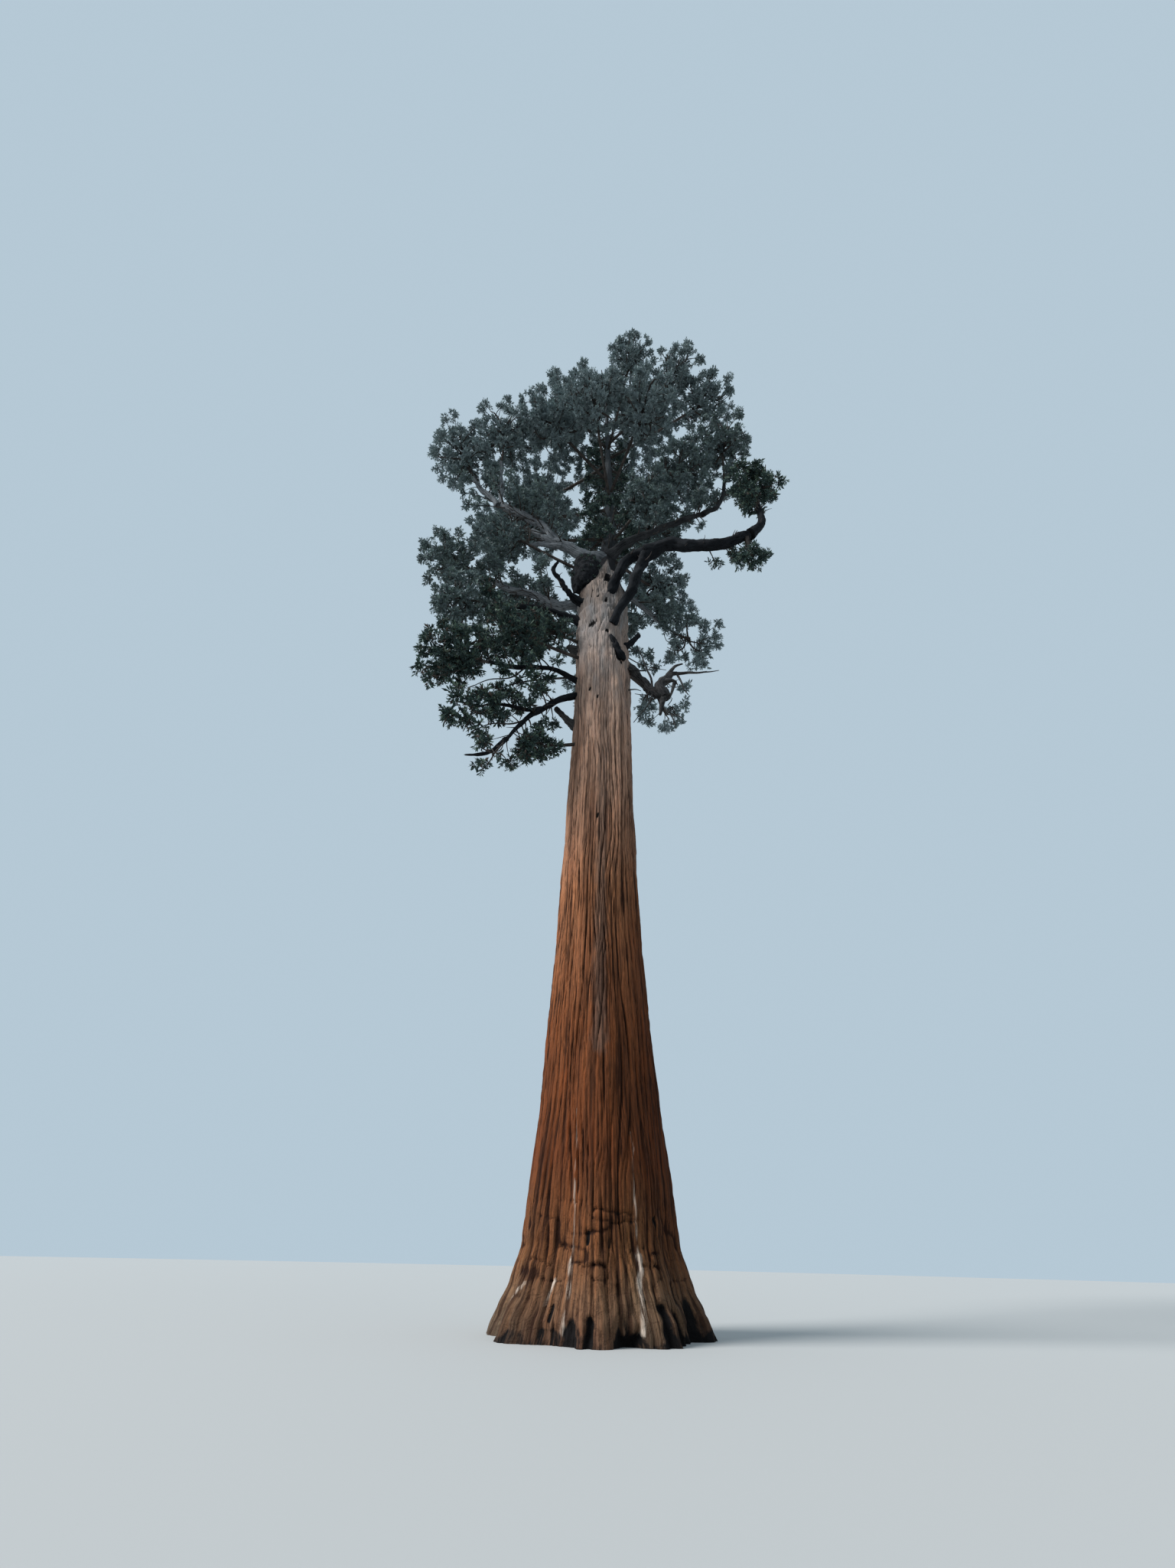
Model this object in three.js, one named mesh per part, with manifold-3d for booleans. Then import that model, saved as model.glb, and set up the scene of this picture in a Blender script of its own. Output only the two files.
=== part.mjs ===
// Giant sequoia, a whole tree rooted in the ground: one trunk with its root flare and leader,
// living boughs, dead limbs and stubs, and rounded masses of foliage.
// Units are millimetres, +Z is up, and the origin is the middle of the flat cut under the trunk.
// Every size in the tables is in metres of the real tree, which is about 75 m tall.
// MODEL_SCALE shrinks the whole tree evenly, so that it stands 40 m tall.

import * as THREE from "three";
import { mergeVertices } from "three/addons/utils/BufferGeometryUtils.js";
import Module from "manifold-3d";

const wasm = await Module();
wasm.setup();

// Driving dimensions
const REAL_HEIGHT = 75;
const MODEL_HEIGHT = 40;
const MODEL_SCALE = MODEL_HEIGHT / REAL_HEIGHT;
const MM_PER_METRE = 1000 * MODEL_SCALE;
const JOINT_GAP = 0.6;
const SPACE_GAP = 30;

// The trunk, up from the ground: height, radius, and how far its middle stands off the Z axis
const TRUNK_PROFILE = [
  { height: 0, radius: 2.97, x: 0, y: 0 },
  { height: 0.45, radius: 2.82, x: 0, y: 0 },
  { height: 1.0, radius: 2.54, x: 0, y: 0 },
  { height: 1.9, radius: 2.28, x: 0, y: 0 },
  { height: 3.5, radius: 2.15, x: 0, y: 0 },
  { height: 5.3, radius: 1.98, x: 0, y: 0 },
  { height: 7.5, radius: 1.86, x: 0, y: 0 },
  { height: 11, radius: 1.68, x: 0, y: 0 },
  { height: 15, radius: 1.61, x: 0, y: 0 },
  { height: 20, radius: 1.54, x: 0.05, y: 0 },
  { height: 25, radius: 1.51, x: 0.05, y: 0 },
  { height: 30, radius: 1.55, x: 0.05, y: 0 },
  { height: 34.4, radius: 1.5, x: 0.05, y: 0 },
  { height: 36.2, radius: 1.18, x: 0.1, y: 0.05 },
  { height: 38, radius: 0.68, x: 0.25, y: 0.1 },
  { height: 42.8, radius: 0.46, x: 0.6, y: 0.1 },
  { height: 48.5, radius: 0.33, x: 0.58, y: 0.1 },
  { height: 55.8, radius: 0.25, x: 0.5, y: 0.1 },
  { height: 64, radius: 0.17, x: 0.42, y: 0.1 },
  { height: 73.2, radius: 0.07, x: 0.35, y: 0.1 },
];
const TRUNK_SIDES = 28;
const FLARE_HEIGHT = 7.5;
const FLARE_RIBS = 8;
const FLARE_RIB_DEPTH = 0.075;
const FLARE_RIB_TURN = 0.7;
const TRUNK_HOLLOWS = 5;
const TRUNK_HOLLOW_DEPTH = 0.025;
const TRUNK_HOLLOW_TWIST_PER_METRE = 0.21;
const TRUNK_BULGE = 1.08;

// Limbs: a tapering rod through its points, from inside what carries it to its tip.
// radii are spread evenly from root to tip, and a knotty limb swells and thins on its way.
const LIVING_LIMBS = [
  {
    name: "arm",
    points: [[2.75, -2.35, 36.2], [4.1, -2.7, 36.45], [6, -3, 36.0], [7.6, -3.2, 35.9], [9.2, -3.2, 36.8]],
    radii: [0.4, 0.4, 0.38, 0.33, 0.31],
    carriers: [],
  },
  {
    name: "arm_lower_root",
    points: [
      [0.6, -1.1, 29.6], [1.3, -1.75, 31.2], [1.9, -2.05, 33.0],
      [2.45, -2.25, 34.9], [2.95, -2.4, 36.2],
    ],
    radii: [0.44, 0.34, 0.33, 0.34, 0.36],
    carriers: ["trunk", "arm"],
  },
  {
    name: "arm_upper_root",
    points: [
      [0.35, -1.0, 33.2], [0.95, -1.75, 34.7], [1.6, -2.1, 35.8],
      [2.3, -2.3, 36.25], [2.9, -2.37, 36.24],
    ],
    radii: [0.42, 0.34, 0.33, 0.34, 0.35],
    carriers: ["trunk", "arm", "arm_lower_root"],
  },
  {
    name: "arm_rise",
    points: [[9.2, -3.2, 36.8], [9.85, -3.2, 37.6], [10.2, -3.2, 38.9], [10.4, -3.2, 40.6]],
    radii: [0.29, 0.25, 0.21, 0.18],
    carriers: ["arm"],
  },
  {
    name: "upper_right_bough",
    points: [[0.5, -0.2, 39.4], [1.3, -0.7, 40.0], [3.7, -1.2, 41.2], [5.4, -1.4, 42.0], [7.1, -1.4, 43.1]],
    radii: [0.36, 0.29, 0.26, 0.24, 0.22],
    carriers: ["trunk"],
  },
  {
    name: "upper_right_rise",
    points: [[7.1, -1.4, 43.1], [8.2, -1.25, 44.3], [9.0, -1.2, 46.1], [9.4, -1.4, 48.6]],
    radii: [0.21, 0.19, 0.17, 0.13],
    carriers: ["upper_right_bough"],
  },
  {
    name: "upper_left_bough",
    points: [
      [0.2, 0.0, 39.3], [-1.2, -0.4, 39.5], [-2.6, -0.65, 40.1],
      [-4.4, -0.95, 42.4], [-7.5, -1.3, 44.9],
    ],
    radii: [0.46, 0.36, 0.32, 0.28, 0.25],
    carriers: ["trunk"],
  },
  {
    name: "upper_left_rise",
    points: [[-7.62, -1.31, 44.8], [-8.6, -1.35, 46.3], [-9.4, -1.4, 47.6], [-10.1, -1.6, 48.9]],
    radii: [0.17, 0.2, 0.18, 0.15],
    carriers: ["upper_left_bough"],
  },
  {
    name: "upper_left_fork",
    points: [[-7.45, -1.29, 45.0], [-7.65, -1.5, 47.0], [-7.85, -1.8, 49.0], [-7.95, -2.0, 50.6]],
    radii: [0.14, 0.17, 0.15, 0.13],
    carriers: ["upper_left_bough", "upper_left_rise"],
  },
  {
    name: "left_level_bough",
    points: [
      [-0.9, 0.2, 34.6], [-2.7, 0.05, 34.1], [-4.5, -0.1, 35.1],
      [-6.2, -0.3, 35.6], [-8.2, -0.7, 36.8],
    ],
    radii: [0.34, 0.27, 0.24, 0.2, 0.15],
    carriers: ["trunk"],
  },
  {
    name: "left_low_bough",
    points: [[-0.9, -0.3, 31.4], [-2.6, -0.8, 32.1], [-4.6, -1.3, 32.0], [-6.6, -1.7, 31.4]],
    radii: [0.26, 0.19, 0.16, 0.13],
    carriers: ["trunk"],
  },
  {
    name: "level_dark_bough",
    points: [
      [-0.9, -0.3, 26.2], [-2.3, -1.0, 26.5], [-3.4, -1.6, 26.1],
      [-4.6, -2.2, 25.4], [-5.8, -2.8, 25.1],
    ],
    radii: [0.22, 0.16, 0.14, 0.12, 0.1],
    carriers: ["trunk"],
  },
  {
    name: "drooping_bough",
    points: [
      [-0.9, -0.1, 25.6], [-2.2, -0.8, 24.5], [-3.0, -1.4, 23.1],
      [-3.8, -2.0, 21.5], [-4.4, -2.5, 19.9],
    ],
    radii: [0.28, 0.21, 0.18, 0.13, 0.08],
    carriers: ["trunk"],
  },
  {
    name: "drooping_side",
    points: [[-3.0, -1.4, 23.1], [-3.6, -1.85, 22.6], [-4.4, -2.2, 22.5], [-5.3, -2.7, 22.2]],
    radii: [0.1, 0.1, 0.09, 0.07],
    carriers: ["drooping_bough"],
  },
  {
    name: "back_right_bough",
    points: [[0.8, 0.4, 36.0], [2.2, 1.3, 36.5], [3.3, 2.4, 36.8], [4.5, 3.4, 36.4]],
    radii: [0.24, 0.18, 0.15, 0.12],
    carriers: ["trunk"],
  },
];

const DEAD_LIMBS = [
  {
    name: "dead_gnarled_limb",
    points: [[0.9, 0, 28.7], [1.7, -0.1, 27.6], [2.3, -0.3, 26.5], [3.0, -0.5, 25.5], [3.6, -0.6, 25.0]],
    radii: [0.36, 0.28, 0.24, 0.3, 0.24],
    carriers: ["trunk"],
  },
  {
    name: "dead_limb_hook",
    points: [[3.3, -0.55, 25.3], [3.95, -0.65, 25.75], [4.15, -0.6, 26.7], [4.5, -0.6, 27.6]],
    radii: [0.16, 0.22, 0.14, 0.07],
    carriers: ["dead_gnarled_limb"],
  },
  {
    name: "dead_bent_snag",
    points: [
      [-0.9, -0.6, 32.9], [-1.9, -1.2, 33.4], [-2.5, -1.5, 34.3],
      [-3.0, -1.8, 35.2], [-2.75, -2.0, 36.1],
    ],
    radii: [0.26, 0.19, 0.16, 0.16, 0.1],
    carriers: ["trunk"],
  },
  {
    name: "short_right_stub",
    points: [[0.9, -0.3, 29.3], [1.7, -0.55, 29.6], [2.2, -0.8, 30.1], [2.45, -0.9, 30.5]],
    radii: [0.24, 0.18, 0.15, 0.09],
    carriers: ["trunk"],
  },
  {
    name: "short_left_stub",
    points: [[-0.9, 0, 23.0], [-1.8, -0.1, 23.7], [-2.5, -0.3, 24.4]],
    radii: [0.24, 0.19, 0.14],
    carriers: ["trunk"],
  },
];

// Masses of foliage: each keeps to its own space, a ball of this radius round its centre, cut
// half way to its neighbours. Its stem leaves the tip of a limb, or the trunk at stemHeight.
const MASSES = [
  { name: "low_left_outer", limb: "drooping_side", centre: [-6.1, -3.0, 21.5], radius: 1.7, dense: false },
  { name: "low_left_hanging", limb: "drooping_bough", centre: [-4.7, -3.0, 18.6], radius: 1.3, dense: false },
  { name: "low_left_inner", stemHeight: 22.3, centre: [-3.1, -1.1, 20.9], radius: 1.6, dense: false },
  { name: "dark_left_outer", limb: "level_dark_bough", centre: [-7.2, -3.2, 25.4], radius: 2.2, dense: true },
  { name: "dark_left_middle", stemHeight: 28.2, centre: [-4.7, -2.7, 27.8], radius: 2.2, dense: true },
  { name: "dark_left_inner", stemHeight: 29.6, centre: [-3.1, -1.0, 30.2], radius: 1.8, dense: true },
  { name: "left_low", limb: "left_low_bough", centre: [-8.3, -2.0, 31.4], radius: 2.3, dense: true },
  { name: "left_outer", limb: "left_level_bough", centre: [-10.0, -1.2, 37.7], radius: 2.5, dense: true },
  { name: "left_middle", stemHeight: 37.0, centre: [-6.3, -1.9, 39.6], radius: 2.3, dense: true },
  { name: "left_back", stemHeight: 36.4, centre: [-5.4, 3.4, 37.6], radius: 3.1, dense: true },
  { name: "upper_left_low", stemHeight: 42.5, centre: [-8.4, 1.5, 45.4], radius: 2.8, dense: true },
  { name: "upper_left_outer", limb: "upper_left_rise", centre: [-11.1, -2.2, 51.2], radius: 3.2, dense: true },
  { name: "upper_left_middle", limb: "upper_left_fork", centre: [-7.9, -2.6, 53.4], radius: 3.3, dense: true },
  { name: "upper_left_top", stemHeight: 51.5, centre: [-4.2, -3.3, 54.8], radius: 3.2, dense: true },
  { name: "upper_left_back", stemHeight: 47.0, centre: [-5.6, 2.6, 50.5], radius: 3.9, dense: true },
  { name: "front_left", stemHeight: 48.6, centre: [-0.7, -5.6, 52.3], radius: 2.9, dense: true },
  { name: "front_right", stemHeight: 49.2, centre: [3.2, -4.8, 53.0], radius: 3.2, dense: true },
  { name: "crest_front", stemHeight: 57.5, centre: [2.4, -5.7, 62.0], radius: 2.3, dense: true },
  { name: "crest_right", stemHeight: 59.0, centre: [6.6, -3.9, 63.2], radius: 3.0, dense: true },
  { name: "shoulder_right", stemHeight: 56.0, centre: [9.2, -2.6, 61.2], radius: 2.9, dense: true },
  { name: "crest_left", stemHeight: 58.0, centre: [-3.2, -2.2, 61.4], radius: 3.5, dense: true },
  { name: "top", stemHeight: 70.5, centre: [0.4, 0.1, 71.7], radius: 3.3, dense: true },
  { name: "top_left", stemHeight: 63.5, centre: [-4.4, 1.8, 66.2], radius: 4.0, dense: true },
  { name: "top_right", stemHeight: 64.2, centre: [4.6, 1.2, 67.2], radius: 3.9, dense: true },
  { name: "top_back", stemHeight: 62.5, centre: [0.6, 5.4, 65.2], radius: 4.0, dense: true },
  { name: "high_back_left", stemHeight: 55.0, centre: [-6.2, 5.0, 58.0], radius: 4.3, dense: true },
  { name: "high_back_right", stemHeight: 54.0, centre: [6.2, 4.6, 59.8], radius: 4.2, dense: true },
  { name: "high_back_middle", stemHeight: 50.5, centre: [0.2, 7.8, 54.6], radius: 4.3, dense: true },
  { name: "right_inner", stemHeight: 41.5, centre: [3.3, -2.3, 43.9], radius: 2.3, dense: true },
  { name: "right_middle", stemHeight: 44.5, centre: [6.2, -2.7, 47.6], radius: 2.6, dense: true },
  { name: "right_outer", limb: "upper_right_rise", centre: [9.5, -2.4, 52.2], radius: 2.9, dense: true },
  { name: "right_back", stemHeight: 47.2, centre: [4.4, 3.8, 50.4], radius: 3.1, dense: true },
  { name: "arm_end", limb: "arm_rise", centre: [10.3, -3.4, 42.9], radius: 2.3, dense: true },
  { name: "arm_hanging", limb: "arm", centre: [8.9, -3.2, 34.3], radius: 1.3, dense: false },
  { name: "back_right_low", stemHeight: 29.5, centre: [3.9, 3.6, 29.0], radius: 2.4, dense: false },
  { name: "back_right_middle", limb: "back_right_bough", centre: [6.4, 4.6, 36.6], radius: 2.8, dense: false },
  { name: "back_right_high", stemHeight: 40.2, centre: [4.6, 5.0, 43.4], radius: 3.1, dense: true },
  { name: "back_low", stemHeight: 30.5, centre: [-0.3, 4.9, 31.6], radius: 2.5, dense: true },
  { name: "back_middle", stemHeight: 35.5, centre: [-0.4, 6.6, 40.4], radius: 3.6, dense: true },
];

// A mass: its core, its twigs and its sprays, as shares of the radius of its space
const CORE_SHARE = 0.76;
const DENSE_MASS = { twigs: 3, sideSprays: 0, coreSprays: 8 };
const OPEN_MASS = { twigs: 5, sideSprays: 1, coreSprays: 0 };
const TWIG_END_SHARE = 0.78;
const TWIG_RADIUS_SHARE = 0.03;
const TWIG_TAPER = 1.4;
const TWIG_SIDES = 3;
const TWIG_STAGGER = 0.03;
const STEM_END_RADIUS_SHARE = 0.035;
const STEM_RADIUS = 0.13;
const STEM_SHARE_OF_CARRIER = 0.62;
const STEM_SIDES = 4;
const TIP_SPRAY_ROOT_SHARE = 0.64;
const SIDE_SPRAY_ROOT_SHARE = 0.5;
const CORE_SPRAY_ROOT_SHARE = 0.56;
const TIP_SPRAY_LENGTH_SHARE = 0.36;
const SIDE_SPRAY_LENGTH_SHARE = 0.46;
const CORE_SPRAY_LENGTH_SHARE = 0.44;
const SPRAY_WIDTH = 0.74;
const SPRAY_THICKNESS = 0.46;
const SIDE_SPRAY_ANGLE = THREE.MathUtils.degToRad(46);
const SPRAY_TRIES = [1, 0.8, 0.6];
const GOLDEN_ANGLE = Math.PI * (3 - Math.sqrt(5));
const SLIVER = 10;

const LIMB_SIDES = 6;
const LIMB_RING_SPACING = 1.1;
const RUN_STEP = 0.25;

// Materials
const barkMaterial = new THREE.MeshStandardMaterial({ color: "#7d4a37", roughness: 0.92, metalness: 0 });
const limbMaterial = new THREE.MeshStandardMaterial({ color: "#4b4440", roughness: 0.9, metalness: 0 });
const deadWoodMaterial = new THREE.MeshStandardMaterial({ color: "#5b5350", roughness: 0.88, metalness: 0 });
const foliageMaterial = new THREE.MeshStandardMaterial({ color: "#2f4a3a", roughness: 0.85, metalness: 0 });

const UP_IN_CYLINDERS = new THREE.Vector3(0, 1, 0);

// Small helpers
function placed([x, y, z]) {
  return new THREE.Vector3(x, y, z).multiplyScalar(MM_PER_METRE);
}

function randomFrom(seed) {
  let state = seed >>> 0;
  return () => {
    state = (state + 0x6d2b79f5) >>> 0;
    let mixed = state;
    mixed = Math.imul(mixed ^ (mixed >>> 15), mixed | 1);
    mixed ^= mixed + Math.imul(mixed ^ (mixed >>> 7), mixed | 61);
    return ((mixed ^ (mixed >>> 14)) >>> 0) / 4294967296;
  };
}

function alongList(values, share) {
  const place = share * (values.length - 1);
  const index = Math.min(Math.floor(place), values.length - 2);
  return THREE.MathUtils.lerp(values[index], values[index + 1], place - index);
}

// Solids are joined and cut as manifolds, and go back to plain geometry
function solidOf(geometry) {
  const bare = geometry.clone();
  bare.deleteAttribute("normal");
  bare.deleteAttribute("uv");
  const merged = mergeVertices(bare, 0.001);
  const vertProperties = new Float32Array(merged.attributes.position.array);
  const triVerts = new Uint32Array(merged.index.array);
  return new wasm.Manifold(new wasm.Mesh({ numProp: 3, vertProperties, triVerts }));
}

function geometryOf(solid) {
  const mesh = solid.getMesh();
  const geometry = new THREE.BufferGeometry();
  geometry.setAttribute("position", new THREE.BufferAttribute(new Float32Array(mesh.vertProperties), 3));
  geometry.setIndex(new THREE.BufferAttribute(new Uint32Array(mesh.triVerts), 1));
  geometry.computeVertexNormals();
  return geometry;
}

function joined(solids) {
  return solids.reduce((whole, solid) => whole.add(solid));
}

function largestPiece(solid) {
  const pieces = solid.decompose();
  return pieces.reduce((largest, piece) => (piece.volume() > largest.volume() ? piece : largest));
}

// The trunk: a many-sided column with ribs in its flare and shallow hollows higher up
function trunkGeometry(grow) {
  const rings = TRUNK_PROFILE.length - 1;
  const geometry = new THREE.CylinderGeometry(1, 1, 1, TRUNK_SIDES, rings);
  geometry.rotateX(Math.PI / 2);
  const position = geometry.attributes.position;
  for (let index = 0; index < position.count; index += 1) {
    const ring = Math.round((position.getZ(index) + 0.5) * rings);
    const row = TRUNK_PROFILE[ring];
    const angle = Math.atan2(position.getY(index), position.getX(index));
    const offAxis = Math.hypot(position.getX(index), position.getY(index));
    const flare = Math.max(0, 1 - row.height / FLARE_HEIGHT) ** 2;
    const ribs = 1 + flare * FLARE_RIB_DEPTH * Math.cos(FLARE_RIBS * angle + FLARE_RIB_TURN);
    const twist = row.height * TRUNK_HOLLOW_TWIST_PER_METRE;
    const hollows = 1 + TRUNK_HOLLOW_DEPTH * Math.cos(TRUNK_HOLLOWS * angle + twist);
    const radius = offAxis * (row.radius * ribs * hollows * MM_PER_METRE + grow);
    const top = ring === rings ? grow : 0;
    position.setXYZ(
      index,
      row.x * MM_PER_METRE + radius * Math.cos(angle),
      row.y * MM_PER_METRE + radius * Math.sin(angle),
      row.height * MM_PER_METRE + top,
    );
  }
  return geometry;
}

function trunkAt(height) {
  const above = Math.max(1, TRUNK_PROFILE.findIndex((row) => row.height >= height));
  const low = TRUNK_PROFILE[above - 1];
  const high = TRUNK_PROFILE[above];
  const share = (height - low.height) / (high.height - low.height);
  const x = THREE.MathUtils.lerp(low.x, high.x, share);
  const y = THREE.MathUtils.lerp(low.y, high.y, share);
  return { middle: placed([x, y, height]), radius: THREE.MathUtils.lerp(low.radius, high.radius, share) };
}

// A limb: a cylinder bent along a smooth curve, its flat ends square to it
function limbGeometry(limb, grow) {
  const curve = new THREE.CatmullRomCurve3(limb.points.map(placed), false, "centripetal");
  const rings = Math.max(4, Math.round(curve.getLength() / (LIMB_RING_SPACING * MM_PER_METRE)));
  const frames = curve.computeFrenetFrames(rings, false);
  const geometry = new THREE.CylinderGeometry(1, 1, 1, LIMB_SIDES, rings);
  const position = geometry.attributes.position;
  for (let index = 0; index < position.count; index += 1) {
    const ring = Math.round((position.getY(index) + 0.5) * rings);
    const share = ring / rings;
    const radius = alongList(limb.radii, share) * MM_PER_METRE + grow;
    const place = curve.getPointAt(share);
    place.addScaledVector(frames.normals[ring], position.getX(index) * radius);
    place.addScaledVector(frames.binormals[ring], -position.getZ(index) * radius);
    const ends = (ring === rings ? grow : 0) - (ring === 0 ? grow : 0);
    place.addScaledVector(frames.tangents[ring], ends);
    position.setXYZ(index, place.x, place.y, place.z);
  }
  return geometry;
}

// Where limbs and stems run, as chains of balls that twigs and sprays stay clear of
function limbRun(limb) {
  const curve = new THREE.CatmullRomCurve3(limb.points.map(placed), false, "centripetal");
  const steps = Math.ceil(curve.getLength() / (RUN_STEP * MM_PER_METRE));
  return Array.from({ length: steps + 1 }, (_, step) => ({
    middle: curve.getPointAt(step / steps),
    radius: alongList(limb.radii, step / steps) * MM_PER_METRE,
  }));
}

function trunkRun() {
  const top = TRUNK_PROFILE[TRUNK_PROFILE.length - 1].height;
  const steps = Math.ceil(top / RUN_STEP);
  return Array.from({ length: steps + 1 }, (_, step) => {
    const row = trunkAt((top * step) / steps);
    return { middle: row.middle, radius: row.radius * TRUNK_BULGE * MM_PER_METRE };
  });
}

function rodGeometry(from, to, fromRadius, toRadius, sides) {
  const along = new THREE.Vector3().subVectors(to, from);
  const geometry = new THREE.CylinderGeometry(toRadius, fromRadius, along.length(), sides, 1);
  geometry.applyQuaternion(new THREE.Quaternion().setFromUnitVectors(UP_IN_CYLINDERS, along.normalize()));
  geometry.translate((from.x + to.x) / 2, (from.y + to.y) / 2, (from.z + to.z) / 2);
  return geometry;
}

// A spray: eight faces, pointed at its root and its tip, flattened like a blade
function sprayGeometry(root, direction, length, spin) {
  const geometry = new THREE.OctahedronGeometry(length / 2, 0);
  geometry.scale(SPRAY_WIDTH, 1, SPRAY_THICKNESS);
  geometry.rotateY(spin);
  geometry.applyQuaternion(new THREE.Quaternion().setFromUnitVectors(UP_IN_CYLINDERS, direction));
  const middle = root.clone().addScaledVector(direction, length / 2);
  geometry.translate(middle.x, middle.y, middle.z);
  return geometry;
}

// The space of a mass: inside its ball, and on its own side of the plane to each neighbour
function spaceOf(mass) {
  const centre = placed(mass.centre);
  const radius = mass.radius * MM_PER_METRE;
  const walls = [];
  for (const other of MASSES) {
    if (other === mass) continue;
    const otherCentre = placed(other.centre);
    const otherRadius = other.radius * MM_PER_METRE;
    const between = new THREE.Vector3().subVectors(otherCentre, centre);
    const distance = between.length();
    if (distance > radius + otherRadius) continue;
    const offset = (distance * distance + radius * radius - otherRadius * otherRadius) / (2 * distance);
    walls.push({ normal: between.divideScalar(distance), offset: offset - SPACE_GAP });
  }
  return { centre, radius, walls };
}

function insideSpace(point, space) {
  const from = new THREE.Vector3().subVectors(point, space.centre);
  if (from.length() > space.radius * 1.001) return false;
  return space.walls.every((wall) => from.dot(wall.normal) <= wall.offset);
}

function staysInSpace(geometry, space) {
  const position = geometry.attributes.position;
  const point = new THREE.Vector3();
  for (let index = 0; index < position.count; index += 1) {
    if (!insideSpace(point.fromBufferAttribute(position, index), space)) return false;
  }
  return true;
}

function clearOfRuns(from, to, halfWidth, runs) {
  const line = new THREE.Line3(from, to);
  const nearest = new THREE.Vector3();
  return runs.every((run) =>
    run.every((ball) => {
      line.closestPointToPoint(ball.middle, true, nearest);
      return nearest.distanceTo(ball.middle) > ball.radius + halfWidth + SPACE_GAP;
    }),
  );
}

// The core of a dense mass: a faceted ball whose corners are drawn in to its own space
function coreGeometry(space) {
  const geometry = new THREE.IcosahedronGeometry(CORE_SHARE * space.radius, 0);
  const position = geometry.attributes.position;
  const corner = new THREE.Vector3();
  for (let index = 0; index < position.count; index += 1) {
    corner.fromBufferAttribute(position, index);
    for (const wall of space.walls) {
      const reach = corner.dot(wall.normal);
      if (reach > wall.offset) corner.multiplyScalar(wall.offset / reach);
    }
    corner.add(space.centre);
    position.setXYZ(index, corner.x, corner.y, corner.z);
  }
  return geometry;
}

// Stems: each runs from inside its carrier to the middle of its mass
function stemOf(mass) {
  const centre = placed(mass.centre);
  if (mass.limb) {
    const limb = [...LIVING_LIMBS, ...DEAD_LIMBS].find((one) => one.name === mass.limb);
    const last = placed(limb.points[limb.points.length - 1]);
    const before = placed(limb.points[limb.points.length - 2]);
    const back = new THREE.Vector3().subVectors(before, last).normalize();
    const tipRadius = limb.radii[limb.radii.length - 1] * MM_PER_METRE;
    const from = last.clone().addScaledVector(back, tipRadius);
    return { from, to: centre, radius: tipRadius * STEM_SHARE_OF_CARRIER };
  }
  const trunk = trunkAt(mass.stemHeight);
  const radius = Math.min(STEM_RADIUS, trunk.radius * STEM_SHARE_OF_CARRIER) * MM_PER_METRE;
  return { from: trunk.middle, to: centre, radius };
}

function stemRun(mass) {
  const stem = stemOf(mass);
  const steps = Math.ceil(stem.from.distanceTo(stem.to) / (RUN_STEP * MM_PER_METRE));
  return Array.from({ length: steps + 1 }, (_, step) => ({
    middle: new THREE.Vector3().lerpVectors(stem.from, stem.to, step / steps),
    radius: stem.radius,
  }));
}

function stemGeometry(mass, grow) {
  const stem = stemOf(mass);
  const endRadius = STEM_END_RADIUS_SHARE * mass.radius * MM_PER_METRE;
  return rodGeometry(stem.from, stem.to, stem.radius + grow, endRadius + grow, STEM_SIDES);
}

// Directions spread evenly over a ball, from a turn that differs for each mass
function spreadDirection(index, count, phase) {
  const height = 1 - (2 * (index + 0.5)) / count;
  const outward = Math.sqrt(1 - height * height);
  const turn = phase + index * GOLDEN_ANGLE;
  return new THREE.Vector3(outward * Math.cos(turn), outward * Math.sin(turn), height);
}

// A spray that fits its space, shorter where it has to be, or nothing
function fittedSpray(root, direction, length, spin, space, runs) {
  for (const share of SPRAY_TRIES) {
    const spray = sprayGeometry(root, direction, length * share, spin);
    const tip = root.clone().addScaledVector(direction, length * share);
    const halfWidth = (length * share * SPRAY_WIDTH) / 2;
    if (staysInSpace(spray, space) && clearOfRuns(root, tip, halfWidth, runs)) return [solidOf(spray)];
  }
  return [];
}

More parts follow.
